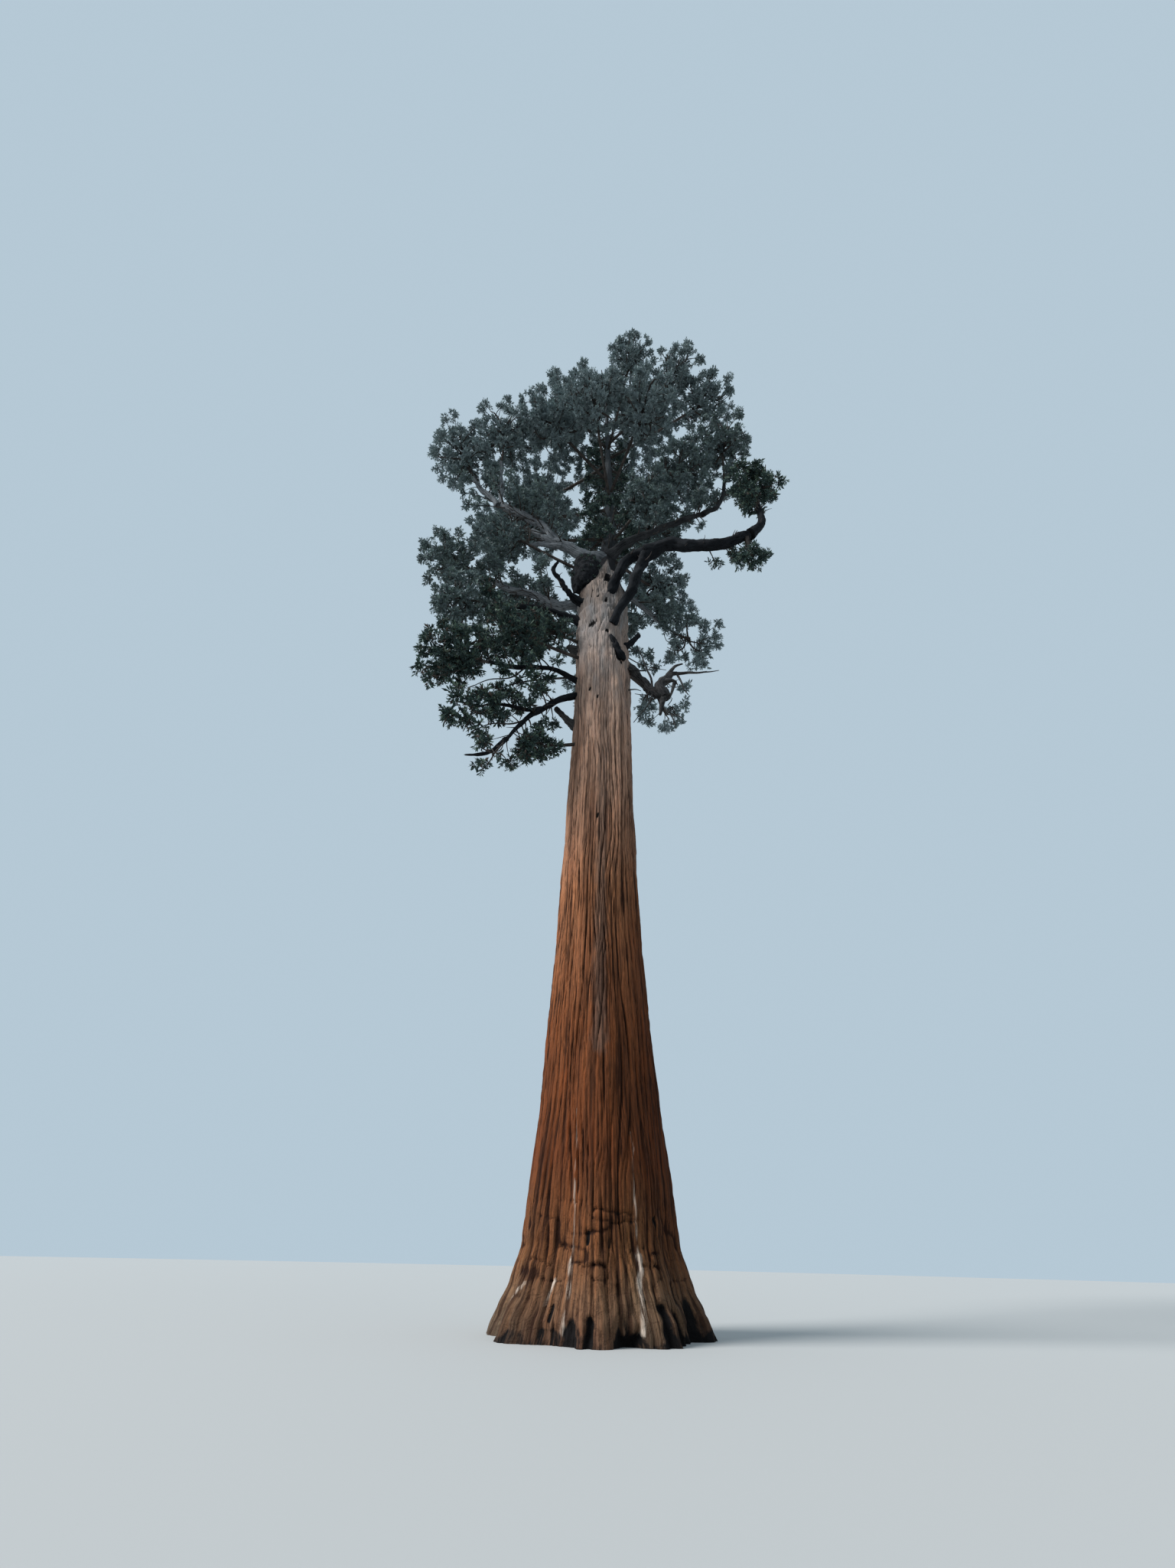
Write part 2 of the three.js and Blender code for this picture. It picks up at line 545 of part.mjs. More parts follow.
// A mass of foliage, grown from its stem by a seeded rule
function massPieces(mass, number, runs) {
  const random = randomFrom(1000 + 77 * number);
  const space = spaceOf(mass);
  const stem = stemOf(mass);
  const kind = mass.dense ? DENSE_MASS : OPEN_MASS;
  const pieces = [solidOf(stemGeometry(mass, 0))];
  if (mass.dense) pieces.push(solidOf(coreGeometry(space)));
  const phase = random() * 2 * Math.PI;
  const twigRadius = TWIG_RADIUS_SHARE * space.radius;
  const count = kind.twigs + kind.coreSprays;
  const outTo = (direction, share) => space.centre.clone().addScaledVector(direction, share * space.radius);
  for (let index = 0; index < count; index += 1) {
    const direction = spreadDirection(index, count, phase);
    const spin = random() * Math.PI;
    const anyWay = new THREE.Vector3(random() - 0.5, random() - 0.5, random() - 0.5);
    const sideways = anyWay.cross(direction).normalize();
    const twigsSoFar = Math.floor((index * kind.twigs) / count);
    const hasTwig = Math.floor(((index + 1) * kind.twigs) / count) > twigsSoFar;
    if (!hasTwig) {
      const root = outTo(direction, CORE_SPRAY_ROOT_SHARE);
      pieces.push(...fittedSpray(root, direction, CORE_SPRAY_LENGTH_SHARE * space.radius, spin, space, runs));
      continue;
    }
    const joint = new THREE.Vector3().lerpVectors(space.centre, stem.from, (TWIG_STAGGER * index) / count);
    const twigEnd = outTo(direction, TWIG_END_SHARE);
    const twig = rodGeometry(joint, twigEnd, twigRadius * TWIG_TAPER, twigRadius, TWIG_SIDES);
    if (!staysInSpace(twig, space) || !clearOfRuns(joint, twigEnd, twigRadius, runs)) continue;
    pieces.push(solidOf(twig));
    const tipRoot = outTo(direction, TIP_SPRAY_ROOT_SHARE);
    pieces.push(...fittedSpray(tipRoot, direction, TIP_SPRAY_LENGTH_SHARE * space.radius, spin, space, runs));
    for (let side = 0; side < kind.sideSprays; side += 1) {
      const sideWay = direction.clone().applyAxisAngle(sideways, SIDE_SPRAY_ANGLE);
      sideWay.applyAxisAngle(direction, side * GOLDEN_ANGLE);
      const sideRoot = outTo(direction, SIDE_SPRAY_ROOT_SHARE);
      const length = SIDE_SPRAY_LENGTH_SHARE * space.radius;
      pieces.push(...fittedSpray(sideRoot, sideWay, length, spin, space, runs));
    }
  }
  return pieces;
}

function massSolid(mass, number, limbSolids, limbRuns) {
  const others = MASSES.filter((other) => other !== mass);
  const runs = [...limbRuns, ...others.map(stemRun)];
  const whole = joined(massPieces(mass, number, runs)).simplify(SLIVER);
  const otherStems = others.map((other) => solidOf(stemGeometry(other, JOINT_GAP)));
  const cutters = [...limbSolids, ...otherStems];
  return largestPiece(cutters.reduce((rest, cutter) => rest.subtract(cutter), whole));
}

// The whole tree
const tree = new THREE.Group();

function addNode(name, geometry, material) {
  const mesh = new THREE.Mesh(geometry, material);
  mesh.name = name;
  tree.add(mesh);
}

function limbNode(limb, grown) {
  const carriers = limb.carriers.map((carrier) => grown.get(carrier));
  const solid = solidOf(limbGeometry(limb, 0));
  return largestPiece(carriers.reduce((rest, carrier) => rest.subtract(carrier), solid));
}

function buildTree() {
  const grown = new Map([["trunk", solidOf(trunkGeometry(JOINT_GAP))]]);
  addNode("trunk", geometryOf(solidOf(trunkGeometry(0))), barkMaterial);
  const limbs = [...LIVING_LIMBS, ...DEAD_LIMBS];
  for (const limb of limbs) {
    const material = DEAD_LIMBS.includes(limb) ? deadWoodMaterial : limbMaterial;
    addNode(limb.name, geometryOf(limbNode(limb, grown)), material);
    grown.set(limb.name, solidOf(limbGeometry(limb, JOINT_GAP)));
  }
  const limbSolids = [...grown.values()];
  const limbRuns = [trunkRun(), ...limbs.map(limbRun)];
  MASSES.forEach((mass, number) => {
    const solid = massSolid(mass, number, limbSolids, limbRuns);
    addNode(`foliage_${mass.name}`, geometryOf(solid), foliageMaterial);
  });
}

buildTree();

export default tree;
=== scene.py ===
# %% [markdown]
# # A giant sequoia, from its charred foot to its top
#
# This lesson dresses a finished set of solids: one trunk, twenty limbs and thirty-nine masses of foliage.
# The solids have the tree's true outline but are plain inside. Here the trunk and limbs get their bark, and
# each mass is replaced by branches, twigs and sprays that grow on from the limb that carries it.
#
# All tables are in metres of the real tree, which is about 75 m tall. The model stands 40 m tall, so one
# scale turns every size in a table into the model's metres.

# %% Load the solids
import math

import bmesh
import bpy
import numpy as np
from mathutils import Matrix, Vector, noise


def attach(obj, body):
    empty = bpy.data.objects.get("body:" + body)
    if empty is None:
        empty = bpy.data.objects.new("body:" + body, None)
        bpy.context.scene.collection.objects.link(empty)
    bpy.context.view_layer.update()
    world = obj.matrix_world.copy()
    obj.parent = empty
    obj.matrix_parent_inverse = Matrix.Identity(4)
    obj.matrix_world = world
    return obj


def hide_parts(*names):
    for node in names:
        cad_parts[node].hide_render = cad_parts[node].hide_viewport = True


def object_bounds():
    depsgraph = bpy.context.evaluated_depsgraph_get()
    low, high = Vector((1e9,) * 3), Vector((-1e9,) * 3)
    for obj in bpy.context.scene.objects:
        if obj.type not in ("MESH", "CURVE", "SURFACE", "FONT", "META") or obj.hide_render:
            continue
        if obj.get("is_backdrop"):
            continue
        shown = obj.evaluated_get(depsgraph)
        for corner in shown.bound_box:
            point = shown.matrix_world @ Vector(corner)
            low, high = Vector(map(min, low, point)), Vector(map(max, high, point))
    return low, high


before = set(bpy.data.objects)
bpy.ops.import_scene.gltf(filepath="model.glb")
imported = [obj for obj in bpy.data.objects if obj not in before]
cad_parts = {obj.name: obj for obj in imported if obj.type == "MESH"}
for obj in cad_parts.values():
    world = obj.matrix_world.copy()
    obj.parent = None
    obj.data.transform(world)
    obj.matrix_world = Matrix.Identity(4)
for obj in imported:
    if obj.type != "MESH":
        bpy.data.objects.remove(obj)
cad_low, cad_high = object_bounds()

REAL_HEIGHT = 75
MODEL_HEIGHT = 40
SCALE = MODEL_HEIGHT / REAL_HEIGHT
print("solids:", len(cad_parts), "and the model is", round(cad_high.z - cad_low.z, 2), "m tall")

# %% [markdown]
# ## Where the eye is
#
# The photograph was taken close to the foot with a very wide lens, looking steeply up, so the trunk's upright
# sides run together towards one point. The camera stands 22 m from the trunk at the height of an eye. Its
# focal length is measured in pixels of the photograph, and a camera whose sensor is fitted to the picture's
# height turns that into millimetres.

# %% Camera
PICTURE_HEIGHT = 2049
FOCAL_PIXELS = 769.6
SENSOR_HEIGHT = 36
EYE_DISTANCE = 22
EYE_HEIGHT = 1.6
PITCH_UP = math.radians(39.02)
TURN_LEFT = math.radians(1.646)
ROLL = math.radians(1.327)
FARTHEST_SEEN = 500


def make_camera():
    data = bpy.data.cameras.new("eye")
    data.sensor_fit = "VERTICAL"
    data.sensor_height = SENSOR_HEIGHT
    data.lens = SENSOR_HEIGHT * FOCAL_PIXELS / PICTURE_HEIGHT
    data.clip_end = FARTHEST_SEEN
    camera = bpy.data.objects.new("eye", data)
    turned = Matrix.Rotation(TURN_LEFT, 4, "Z") @ Matrix.Rotation(math.pi / 2 + PITCH_UP, 4, "X")
    place = Matrix.Translation(Vector((0, -EYE_DISTANCE, EYE_HEIGHT)) * SCALE)
    camera.matrix_world = place @ turned @ Matrix.Rotation(ROLL, 4, "Z")
    bpy.context.scene.collection.objects.link(camera)
    bpy.context.scene.camera = camera
    print("lens", round(data.lens, 2), "mm")


make_camera()

# %% [markdown]
# ## Light and floor
#
# The tree stands in flat, overcast daylight. A pale world gives light from every side, and one very large sun
# from the left and the front models the trunk's roundness with soft shadows. The floor is a plain pale disc,
# which also throws a little light up under the boughs.

# %% Light
SKY_COLOUR = (0.50, 0.625, 0.72, 1)
SKY_STRENGTH = 0.93
SUN_STRENGTH = 4.3
SUN_SPREAD = math.radians(30)
SUN_HEIGHT = math.radians(36)
SUN_SIDE = math.radians(-66)


def make_light():
    world = bpy.data.worlds.new("pale_sky")
    world.use_nodes = True
    world.node_tree.nodes["Background"].inputs["Color"].default_value = SKY_COLOUR
    world.node_tree.nodes["Background"].inputs["Strength"].default_value = SKY_STRENGTH
    bpy.context.scene.world = world
    data = bpy.data.lights.new("soft_sun", "SUN")
    data.energy = SUN_STRENGTH
    data.angle = SUN_SPREAD
    sun = bpy.data.objects.new("soft_sun", data)
    sun.rotation_euler = (math.pi / 2 - SUN_HEIGHT, 0, SUN_SIDE)
    bpy.context.scene.collection.objects.link(sun)
    print("sun:", round(math.degrees(SUN_HEIGHT)), "degrees high, spread", round(math.degrees(data.angle)))


make_light()
bpy.context.scene.view_settings.view_transform = "Standard"

# %% Floor
FLOOR_SIDES = 96
FLOOR_RADIUS = 120
FLOOR_COLOUR = (0.43, 0.43, 0.42, 1)
FLOOR_ROUGHNESS = 0.9


def make_floor():
    bm = bmesh.new()
    bmesh.ops.create_circle(bm, cap_ends=True, segments=FLOOR_SIDES, radius=FLOOR_RADIUS)
    mesh = bpy.data.meshes.new("floor")
    bm.to_mesh(mesh)
    bm.free()
    floor = bpy.data.objects.new("floor", mesh)
    bpy.context.scene.collection.objects.link(floor)
    paint = bpy.data.materials.new("pale_floor")
    paint.use_nodes = True
    shader = paint.node_tree.nodes["Principled BSDF"]
    shader.inputs["Base Color"].default_value = FLOOR_COLOUR
    shader.inputs["Roughness"].default_value = FLOOR_ROUGHNESS
    mesh.materials.append(paint)
    floor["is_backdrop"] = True
    print("floor:", 2 * FLOOR_RADIUS, "m across")


make_floor()

# %% [markdown]
# ## Helpers for shader nodes
#
# A material is a small graph of nodes. A helper that adds a node, sets its plain values and links its
# inputs in one call keeps each graph as short as a recipe.

# %% Shader helpers
# Numbers of the Mix node's sockets that carry colours
MIX_SHARE, MIX_FIRST, MIX_SECOND = "0", "6", "7"
MIX_RESULT = 2


class Graph:
    """A new material's node graph, with one call for each node."""

    def __init__(self, name):
        self.material = bpy.data.materials.new(name)
        self.material.use_nodes = True
        self.tree = self.material.node_tree
        self.shader = self.tree.nodes["Principled BSDF"]

    def add(self, kind, settings=None, **inputs):
        node = self.tree.nodes.new(kind)
        for name, value in (settings or {}).items():
            setattr(node, name, value)
        for name, value in inputs.items():
            self.feed(node, name.replace("_", " "), value)
        return node

    def feed(self, node, name, value):
        socket = node.inputs[int(name)] if name.isdigit() else node.inputs[name]
        if isinstance(value, bpy.types.NodeSocket):
            self.tree.links.new(value, socket)
        else:
            socket.default_value = value

    def object_place(self):
        return self.add("ShaderNodeTexCoord").outputs["Object"]

    def stretched(self, place, cells):
        return self.add("ShaderNodeMapping", Vector=place, Scale=cells).outputs["Vector"]

    def noise(self, place, cells, detail=4.0, roughness=0.55):
        place = self.stretched(place, cells)
        node = self.add("ShaderNodeTexNoise", Vector=place, Scale=1.0, Detail=detail, Roughness=roughness)
        return node.outputs["Fac"]

    def mark(self, name):
        return self.add("ShaderNodeAttribute", {"attribute_name": name}).outputs["Fac"]

    def mark_place(self, name):
        return self.add("ShaderNodeAttribute", {"attribute_name": name}).outputs["Vector"]

    def between(self, value, low, high, to_low=0.0, to_high=1.0):
        node = self.add("ShaderNodeMapRange", Value=value)
        for name, number in (("From Min", low), ("From Max", high), ("To Min", to_low), ("To Max", to_high)):
            node.inputs[name].default_value = number
        return node.outputs["Result"]

    def mix(self, share, first, second, how="MIX"):
        inputs = {MIX_SHARE: share, MIX_FIRST: first, MIX_SECOND: second}
        node = self.add("ShaderNodeMix", {"data_type": "RGBA", "blend_type": how}, **inputs)
        return node.outputs[MIX_RESULT]

    def ramp(self, value, stops):
        node = self.add("ShaderNodeValToRGB", Fac=value)
        elements = node.color_ramp.elements
        while len(elements) < len(stops):
            elements.new(0.5)
        for element, (place, colour) in zip(elements, stops):
            element.position = place
            element.color = (*colour, 1)
        return node.outputs["Color"]

    def times(self, first, second):
        return self.add("ShaderNodeMath", {"operation": "MULTIPLY"}, **{"0": first, "1": second}).outputs[0]

    def plus(self, first, second):
        return self.add("ShaderNodeMath", {"operation": "ADD"}, **{"0": first, "1": second}).outputs[0]

    def bump(self, height, strength, distance, over=None):
        node = self.add("ShaderNodeBump", Height=height, Strength=strength, Distance=distance)
        if over is not None:
            self.feed(node, "Normal", over)
        return node.outputs["Normal"]


# %% [markdown]
# ## Helpers for shapes
#
# The trunk and every limb are made the same way: a flat grid from one bmesh operator is rolled into a tube.
# Each grid point has a share round and a share along, and a function turns the two into a place. The seam is
# then welded and the two ends are filled. Their rims are kept sharp, or the flat ends would tint the smooth
# sides. Soft noise that wraps round gives the relief of the bark.


# %% Soft noise
def soft_noise(round_share, along, columns, seed):
    """Smooth noise from 0 to 1 that wraps once round; along counts cells and may be any number."""
    rows = int(np.ceil(along.max())) + 2
    lattice = np.random.default_rng(seed).random((rows, columns))
    across = (round_share % 1.0) * columns
    left = np.floor(across).astype(int)
    low = np.floor(along).astype(int)
    turn = across - left
    rise = along - low
    turn = turn * turn * (3 - 2 * turn)
    rise = rise * rise * (3 - 2 * rise)
    left %= columns
    right = (left + 1) % columns
    under = lattice[low, left] * (1 - turn) + lattice[low, right] * turn
    over = lattice[low + 1, left] * (1 - turn) + lattice[low + 1, right] * turn
    return under * (1 - rise) + over * rise


quarters = np.arange(4) / 4
print("soft noise at four places round:", soft_noise(quarters, quarters, 5, 1).round(2))

# %% Rolled tubes
WELD_DISTANCE = 0.0002


def add_mark(mesh, name, values):
    """Keep one number, or one place, for each corner of the mesh, for the material to read."""
    if values.ndim == 2:
        layer = mesh.attributes.new(name, "FLOAT_VECTOR", "POINT")
        layer.data.foreach_set("vector", values.astype(np.float32).ravel())
    else:
        layer = mesh.attributes.new(name, "FLOAT", "POINT")
        layer.data.foreach_set("value", np.clip(values, 0, 1).astype(np.float32))


def grain_place(turn, along, radius):
    """Places on a straight column, so that fibres drawn there follow a flared or bent one."""
    return np.stack([radius * np.cos(turn), radius * np.sin(turn), along], 1)


def close_tube(bm):
    """Weld the seam, fill both ends, keep their rims sharp and turn all faces outwards."""
    bmesh.ops.remove_doubles(bm, verts=bm.verts, dist=WELD_DISTANCE)
    rims = [edge for edge in bm.edges if edge.is_boundary]
    bmesh.ops.holes_fill(bm, edges=rims, sides=0)
    for edge in rims:
        edge.smooth = False
    bmesh.ops.recalc_face_normals(bm, faces=bm.faces)
    bmesh.ops.triangulate(bm, faces=[face for face in bm.faces if len(face.verts) > 4])


def rolled_tube(name, sides, rings, shape, material, nodes):
    """A grid rolled into a closed tube; shape gives the points' places and the marks on them."""
    mesh = bpy.data.meshes.new(name)
    bm = bmesh.new()
    bmesh.ops.create_grid(bm, x_segments=sides, y_segments=rings, size=1)
    bm.to_mesh(mesh)
    flat = np.empty(3 * len(mesh.vertices), np.float32)
    mesh.vertices.foreach_get("co", flat)
    flat = flat.reshape(-1, 3).astype(float)
    places, marks = shape((flat[:, 0] + 1) / 2, (flat[:, 1] + 1) / 2)
    mesh.vertices.foreach_set("co", (places * SCALE).astype(np.float32).ravel())
    for mark, values in marks.items():
        add_mark(mesh, mark, values)
    bm.clear()
    bm.from_mesh(mesh)
    close_tube(bm)
    bm.to_mesh(mesh)
    bm.free()
    mesh.shade_smooth()
    return finished(name, mesh, material, nodes)


def finished(name, mesh, material, nodes):
    """Link a piece, give it its material and slot, and hide the solids it stands for."""
    mesh.materials.append(material)
    piece = bpy.data.objects.new(name, mesh)
    bpy.context.scene.collection.objects.link(piece)
    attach(piece, "root")
    if nodes:
        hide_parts(*nodes)
    return piece


# %% [markdown]
# ## The bark of the trunk
#
# Giant sequoia bark is soft, fibrous and up to half a metre thick. It stands in long upright ridges with dark
# slits and bands between them. The ridges are cinnamon, deepest red-brown low on the trunk, grey-brown and
# rough at the foot, where fires have worn it, and bleached near the old broken top. The mesh carries marks
# for furrow, char, streak, grey, shaded side, bleach and shade. They were made with the relief, so colour and
# shape agree: the furrows are darker bark and painted shade. The shaded side is painted shade on the side
# away from the sun, and the shade mark paints shade round and above the bleached point. The mesh also carries
# the grain, a place on a straight column, so that fibres follow the flare down to the ground. Each dark layer
# is one more mix over the colour so far, so the layers run in a loop.

# %% Trunk colours
# Height in metres and the ridges' colour there
RIDGE_COLOURS = [
    (0.0, (0.084, 0.061, 0.042)),
    (0.9, (0.180, 0.112, 0.064)),
    (1.7, (0.180, 0.084, 0.036)),
    (4.0, (0.138, 0.042, 0.014)),
    (8, (0.195, 0.066, 0.025)),
    (13, (0.330, 0.140, 0.066)),
    (20, (0.495, 0.300, 0.210)),
    (28, (0.590, 0.415, 0.330)),
    (38, (0.400, 0.350, 0.310)),
]
RAMP_TOP = 38
# Furrow colours on bark and on bleached wood: darker bark and painted shade, also used by the darker noises
FURROW_COLOUR = (0.018, 0.006, 0.003, 1)
BLEACHED_COLOUR = (0.222, 0.217, 0.216, 1)
BLEACHED_FURROW_COLOUR = (0.105, 0.086, 0.076, 1)
WARM_WOOD = (0.268, 0.208, 0.175, 1)
GREY_RIDGE = (0.150, 0.108, 0.086, 1)
RUSTY_RIDGE = (0.160, 0.046, 0.018, 1)
# Painted shade on the side of the lower trunk that faces away from the sun
SHADED_SIDE_COLOUR = (0.050, 0.014, 0.006, 1)
LIT_FIBRE = (0.72, 0.58, 0.47, 1)
STREAK_COLOUR = (0.56, 0.46, 0.38, 1)
CHAR_COLOUR = (0.006, 0.005, 0.005, 1)
SHADE_COLOUR = (0.020, 0.020, 0.022, 1)
LEADER_COLOUR = (0.070, 0.078, 0.084, 1)
LEADER_FROM = 39
LEADER_FULL = 43
# How much of the colour below each layer covers at most
RUSTY_SHARE = 0.35
GREY_SHARE = 0.6
SHADED_SIDE_SHARE = 0.5
LIT_FIBRE_SHARE = 0.75
MOTTLE_SHARE = 0.40
SLIT_SHARE = 0.72
BAND_SHARE = 0.55
DARK_FIBRE_SHARE = 0.66
FURROW_SHARE = 0.95
# How much of slits and bands is left on bare wood, and how ragged the edges of furrows and char are
LEFT_ON_BARE_WOOD = 0.3
RAGGED_FURROW = 0.22
RAGGED_CHAR = 0.28
print("ridge colours:", len(RIDGE_COLOURS), "up to", RAMP_TOP, "m")


def ridge_colour(graph, height, fibres, patches):
    """Ridge colour by height, with rusty patches, a grey band, painted shade on one side, and lit fibres."""
    stops = [(place / RAMP_TOP, colour) for place, colour in RIDGE_COLOURS]
    ridge = graph.ramp(graph.between(height, 0, RAMP_TOP * SCALE), stops)
    ridge = graph.mix(graph.between(patches, 0.44, 0.66, 0, RUSTY_SHARE), ridge, RUSTY_RIDGE)
    ridge = graph.mix(graph.between(graph.mark("grey"), 0, 1, 0, GREY_SHARE), ridge, GREY_RIDGE)
    ridge = graph.mix(graph.between(graph.mark("shaded_side"), 0, 1, 0, SHADED_SIDE_SHARE), ridge, SHADED_SIDE_COLOUR)
    return graph.mix(graph.between(fibres, 0.48, 0.72, 0, LIT_FIBRE_SHARE), ridge, LIT_FIBRE, "OVERLAY")


# %% Scaly plates at the foot
PLATE_CELLS = (5.2, 5.2, 2.5)
PLATE_NOISE = 5.0
PLATE_WAVER = 1.7
PLATE_EDGE = 0.12
PLATE_DARKNESS = 0.28
PLATES_FROM = 1.0
PLATES_TO = 4.5


def plate_edges(graph, place):
    """How near a point is to an edge between two scaly plates, whose edges a noise makes ragged."""
    noise_node = graph.add("ShaderNodeTexNoise", Vector=place, Scale=PLATE_NOISE, Detail=4.0, Roughness=0.6)
    sway = {"0": noise_node.outputs["Color"], "Scale": PLATE_WAVER}
    bend = graph.add("ShaderNodeVectorMath", {"operation": "SCALE"}, **sway)
    both = {"0": graph.stretched(place, PLATE_CELLS), "1": bend.outputs[0]}
    bent = graph.add("ShaderNodeVectorMath", {"operation": "ADD"}, **both).outputs[0]
    cells = graph.add("ShaderNodeTexVoronoi", {"feature": "DISTANCE_TO_EDGE"}, Vector=bent, Scale=1.0)
    return graph.between(cells.outputs["Distance"], PLATE_EDGE, 0.0, 0, PLATE_DARKNESS)


# %% Trunk material
# Cells of each noise in a metre of the grain: two ways across it, then along it
FIBRE_CELLS = (17, 17, 0.75)
PATCH_CELLS = (0.9, 0.9, 0.16)
MOTTLE_CELLS = (9, 9, 1.3)
BAND_CELLS = (3.4, 3.4, 0.13)
SLIT_CELLS = (10.5, 10.5, 0.20)


def make_bark_material():
    graph = Graph("sequoia_bark")
    grain = graph.mark_place("grain")
    height = graph.add("ShaderNodeSeparateXYZ", Vector=graph.object_place()).outputs["Z"]
    fibres = graph.noise(grain, FIBRE_CELLS, detail=6, roughness=0.70)
    patches = graph.noise(grain, PATCH_CELLS, detail=3)
    mottle = graph.noise(grain, MOTTLE_CELLS, detail=5, roughness=0.65)
    bands = graph.noise(grain, BAND_CELLS, detail=2)
    slits = graph.noise(grain, SLIT_CELLS, detail=4, roughness=0.56)
    near_ground = graph.between(height, PLATES_TO * SCALE, PLATES_FROM * SCALE)
    plates = graph.times(near_ground, plate_edges(graph, grain))
    bleach = graph.mark("bleach")
    bare = graph.mix(graph.between(patches, 0.42, 0.60), BLEACHED_COLOUR, WARM_WOOD)
    furrow_colour = graph.mix(bleach, FURROW_COLOUR, BLEACHED_FURROW_COLOUR)
    colour = graph.mix(bleach, ridge_colour(graph, height, fibres, patches), bare)
    on_bark = graph.between(bleach, 0, 1, 1, LEFT_ON_BARE_WOOD)
    ragged = graph.between(fibres, 0.35, 0.65, RAGGED_FURROW, -RAGGED_FURROW)
    for share in (
        graph.between(mottle, 0.48, 0.30, 0, MOTTLE_SHARE),
        graph.times(graph.between(slits, 0.47, 0.39, 0, SLIT_SHARE), on_bark),
        graph.times(graph.between(bands, 0.50, 0.34, 0, BAND_SHARE), on_bark),
        graph.between(fibres, 0.50, 0.34, 0, DARK_FIBRE_SHARE),
        # The furrow mark: darker bark and painted shade where the relief is deep
        graph.between(graph.plus(graph.mark("furrow"), ragged), 0.24, 0.66, 0, FURROW_SHARE),
    ):
        colour = graph.mix(share, colour, furrow_colour)
    colour = graph.mix(plates, colour, FURROW_COLOUR)
    streak = graph.times(graph.mark("streak"), graph.between(fibres, 0.40, 0.56))
    colour = graph.mix(streak, colour, STREAK_COLOUR)
    up_leader = graph.between(height, LEADER_FROM * SCALE, LEADER_FULL * SCALE)
    colour = graph.mix(graph.mark("shade"), colour, graph.mix(up_leader, SHADE_COLOUR, LEADER_COLOUR))
    burnt_edge = graph.between(mottle, 0.35, 0.65, RAGGED_CHAR, -RAGGED_CHAR)
    burnt = graph.between(graph.plus(graph.mark("char"), burnt_edge), 0.42, 0.75)
    graph.feed(graph.shader, "Base Color", graph.mix(burnt, colour, CHAR_COLOUR))
    graph.feed(graph.shader, "Roughness", graph.between(fibres, 0.2, 0.8, 0.82, 0.96))
    normal = None
    layers = ((plates, 0.6, -0.03), (slits, 0.9, 0.05), (mottle, 0.7, 0.05), (fibres, 0.8, 0.025))
    for relief, strength, depth in layers:
        normal = graph.bump(relief, strength, depth, normal)
    graph.feed(graph.shader, "Normal", normal)
    graph.shader.inputs["Specular IOR Level"].default_value = 0.12
    return graph.material


bark_material = make_bark_material()
print("trunk bark:", len(bark_material.node_tree.nodes), "nodes")

# %% [markdown]
# ## The trunk's form
#
# One table gives radius and lean by height, as the solid has them. On it lie eight broad flutes that die out
# above the flare and five shallow hollows that wind slowly up the trunk. Char, cracks, knot holes, pale
# streaks and a long grey band are lines drawn on the unrolled bark. Each has a width and a depth, wavers and
# breaks off with a noise, and marks what it touches.

# %% Trunk profile
# Height, radius, and how far the middle leans to the right and back
TRUNK_PROFILE = [
    (0, 2.97, 0, 0),
    (0.45, 2.82, 0, 0),
    (1.0, 2.54, 0, 0),
    (1.9, 2.28, 0, 0),
    (3.5, 2.15, 0, 0),
    (5.3, 1.98, 0, 0),
    (7.5, 1.86, 0, 0),
    (11, 1.68, 0, 0),
    (15, 1.61, 0, 0),
    (20, 1.54, 0.05, 0),
    (25, 1.51, 0.05, 0),
    (30, 1.55, 0.05, 0),
    (34.4, 1.5, 0.05, 0),
    (36.2, 1.18, 0.1, 0.05),
    (38, 0.68, 0.25, 0.1),
    (42.8, 0.46, 0.6, 0.1),
    (48.5, 0.33, 0.58, 0.1),
    (55.8, 0.25, 0.5, 0.1),
    (64, 0.17, 0.42, 0.1),
    (73.2, 0.07, 0.35, 0.1),
]
FLARE_HEIGHT = 7.5
FLARE_RIBS = 8
FLARE_RIB_DEPTH = 0.075
FLARE_RIB_TURN = 0.7
TRUNK_HOLLOWS = 5
TRUNK_HOLLOW_DEPTH = 0.025
TRUNK_HOLLOW_TWIST = 0.21
GRAIN_RADIUS = 1.7


def trunk_row(height):
    """Radius and lean of the trunk at a height."""
    heights = [row[0] for row in TRUNK_PROFILE]
    return [np.interp(height, heights, [row[column] for row in TRUNK_PROFILE]) for column in (1, 2, 3)]


print("trunk profile:", len(TRUNK_PROFILE), "rows up to", TRUNK_PROFILE[-1][0], "m")

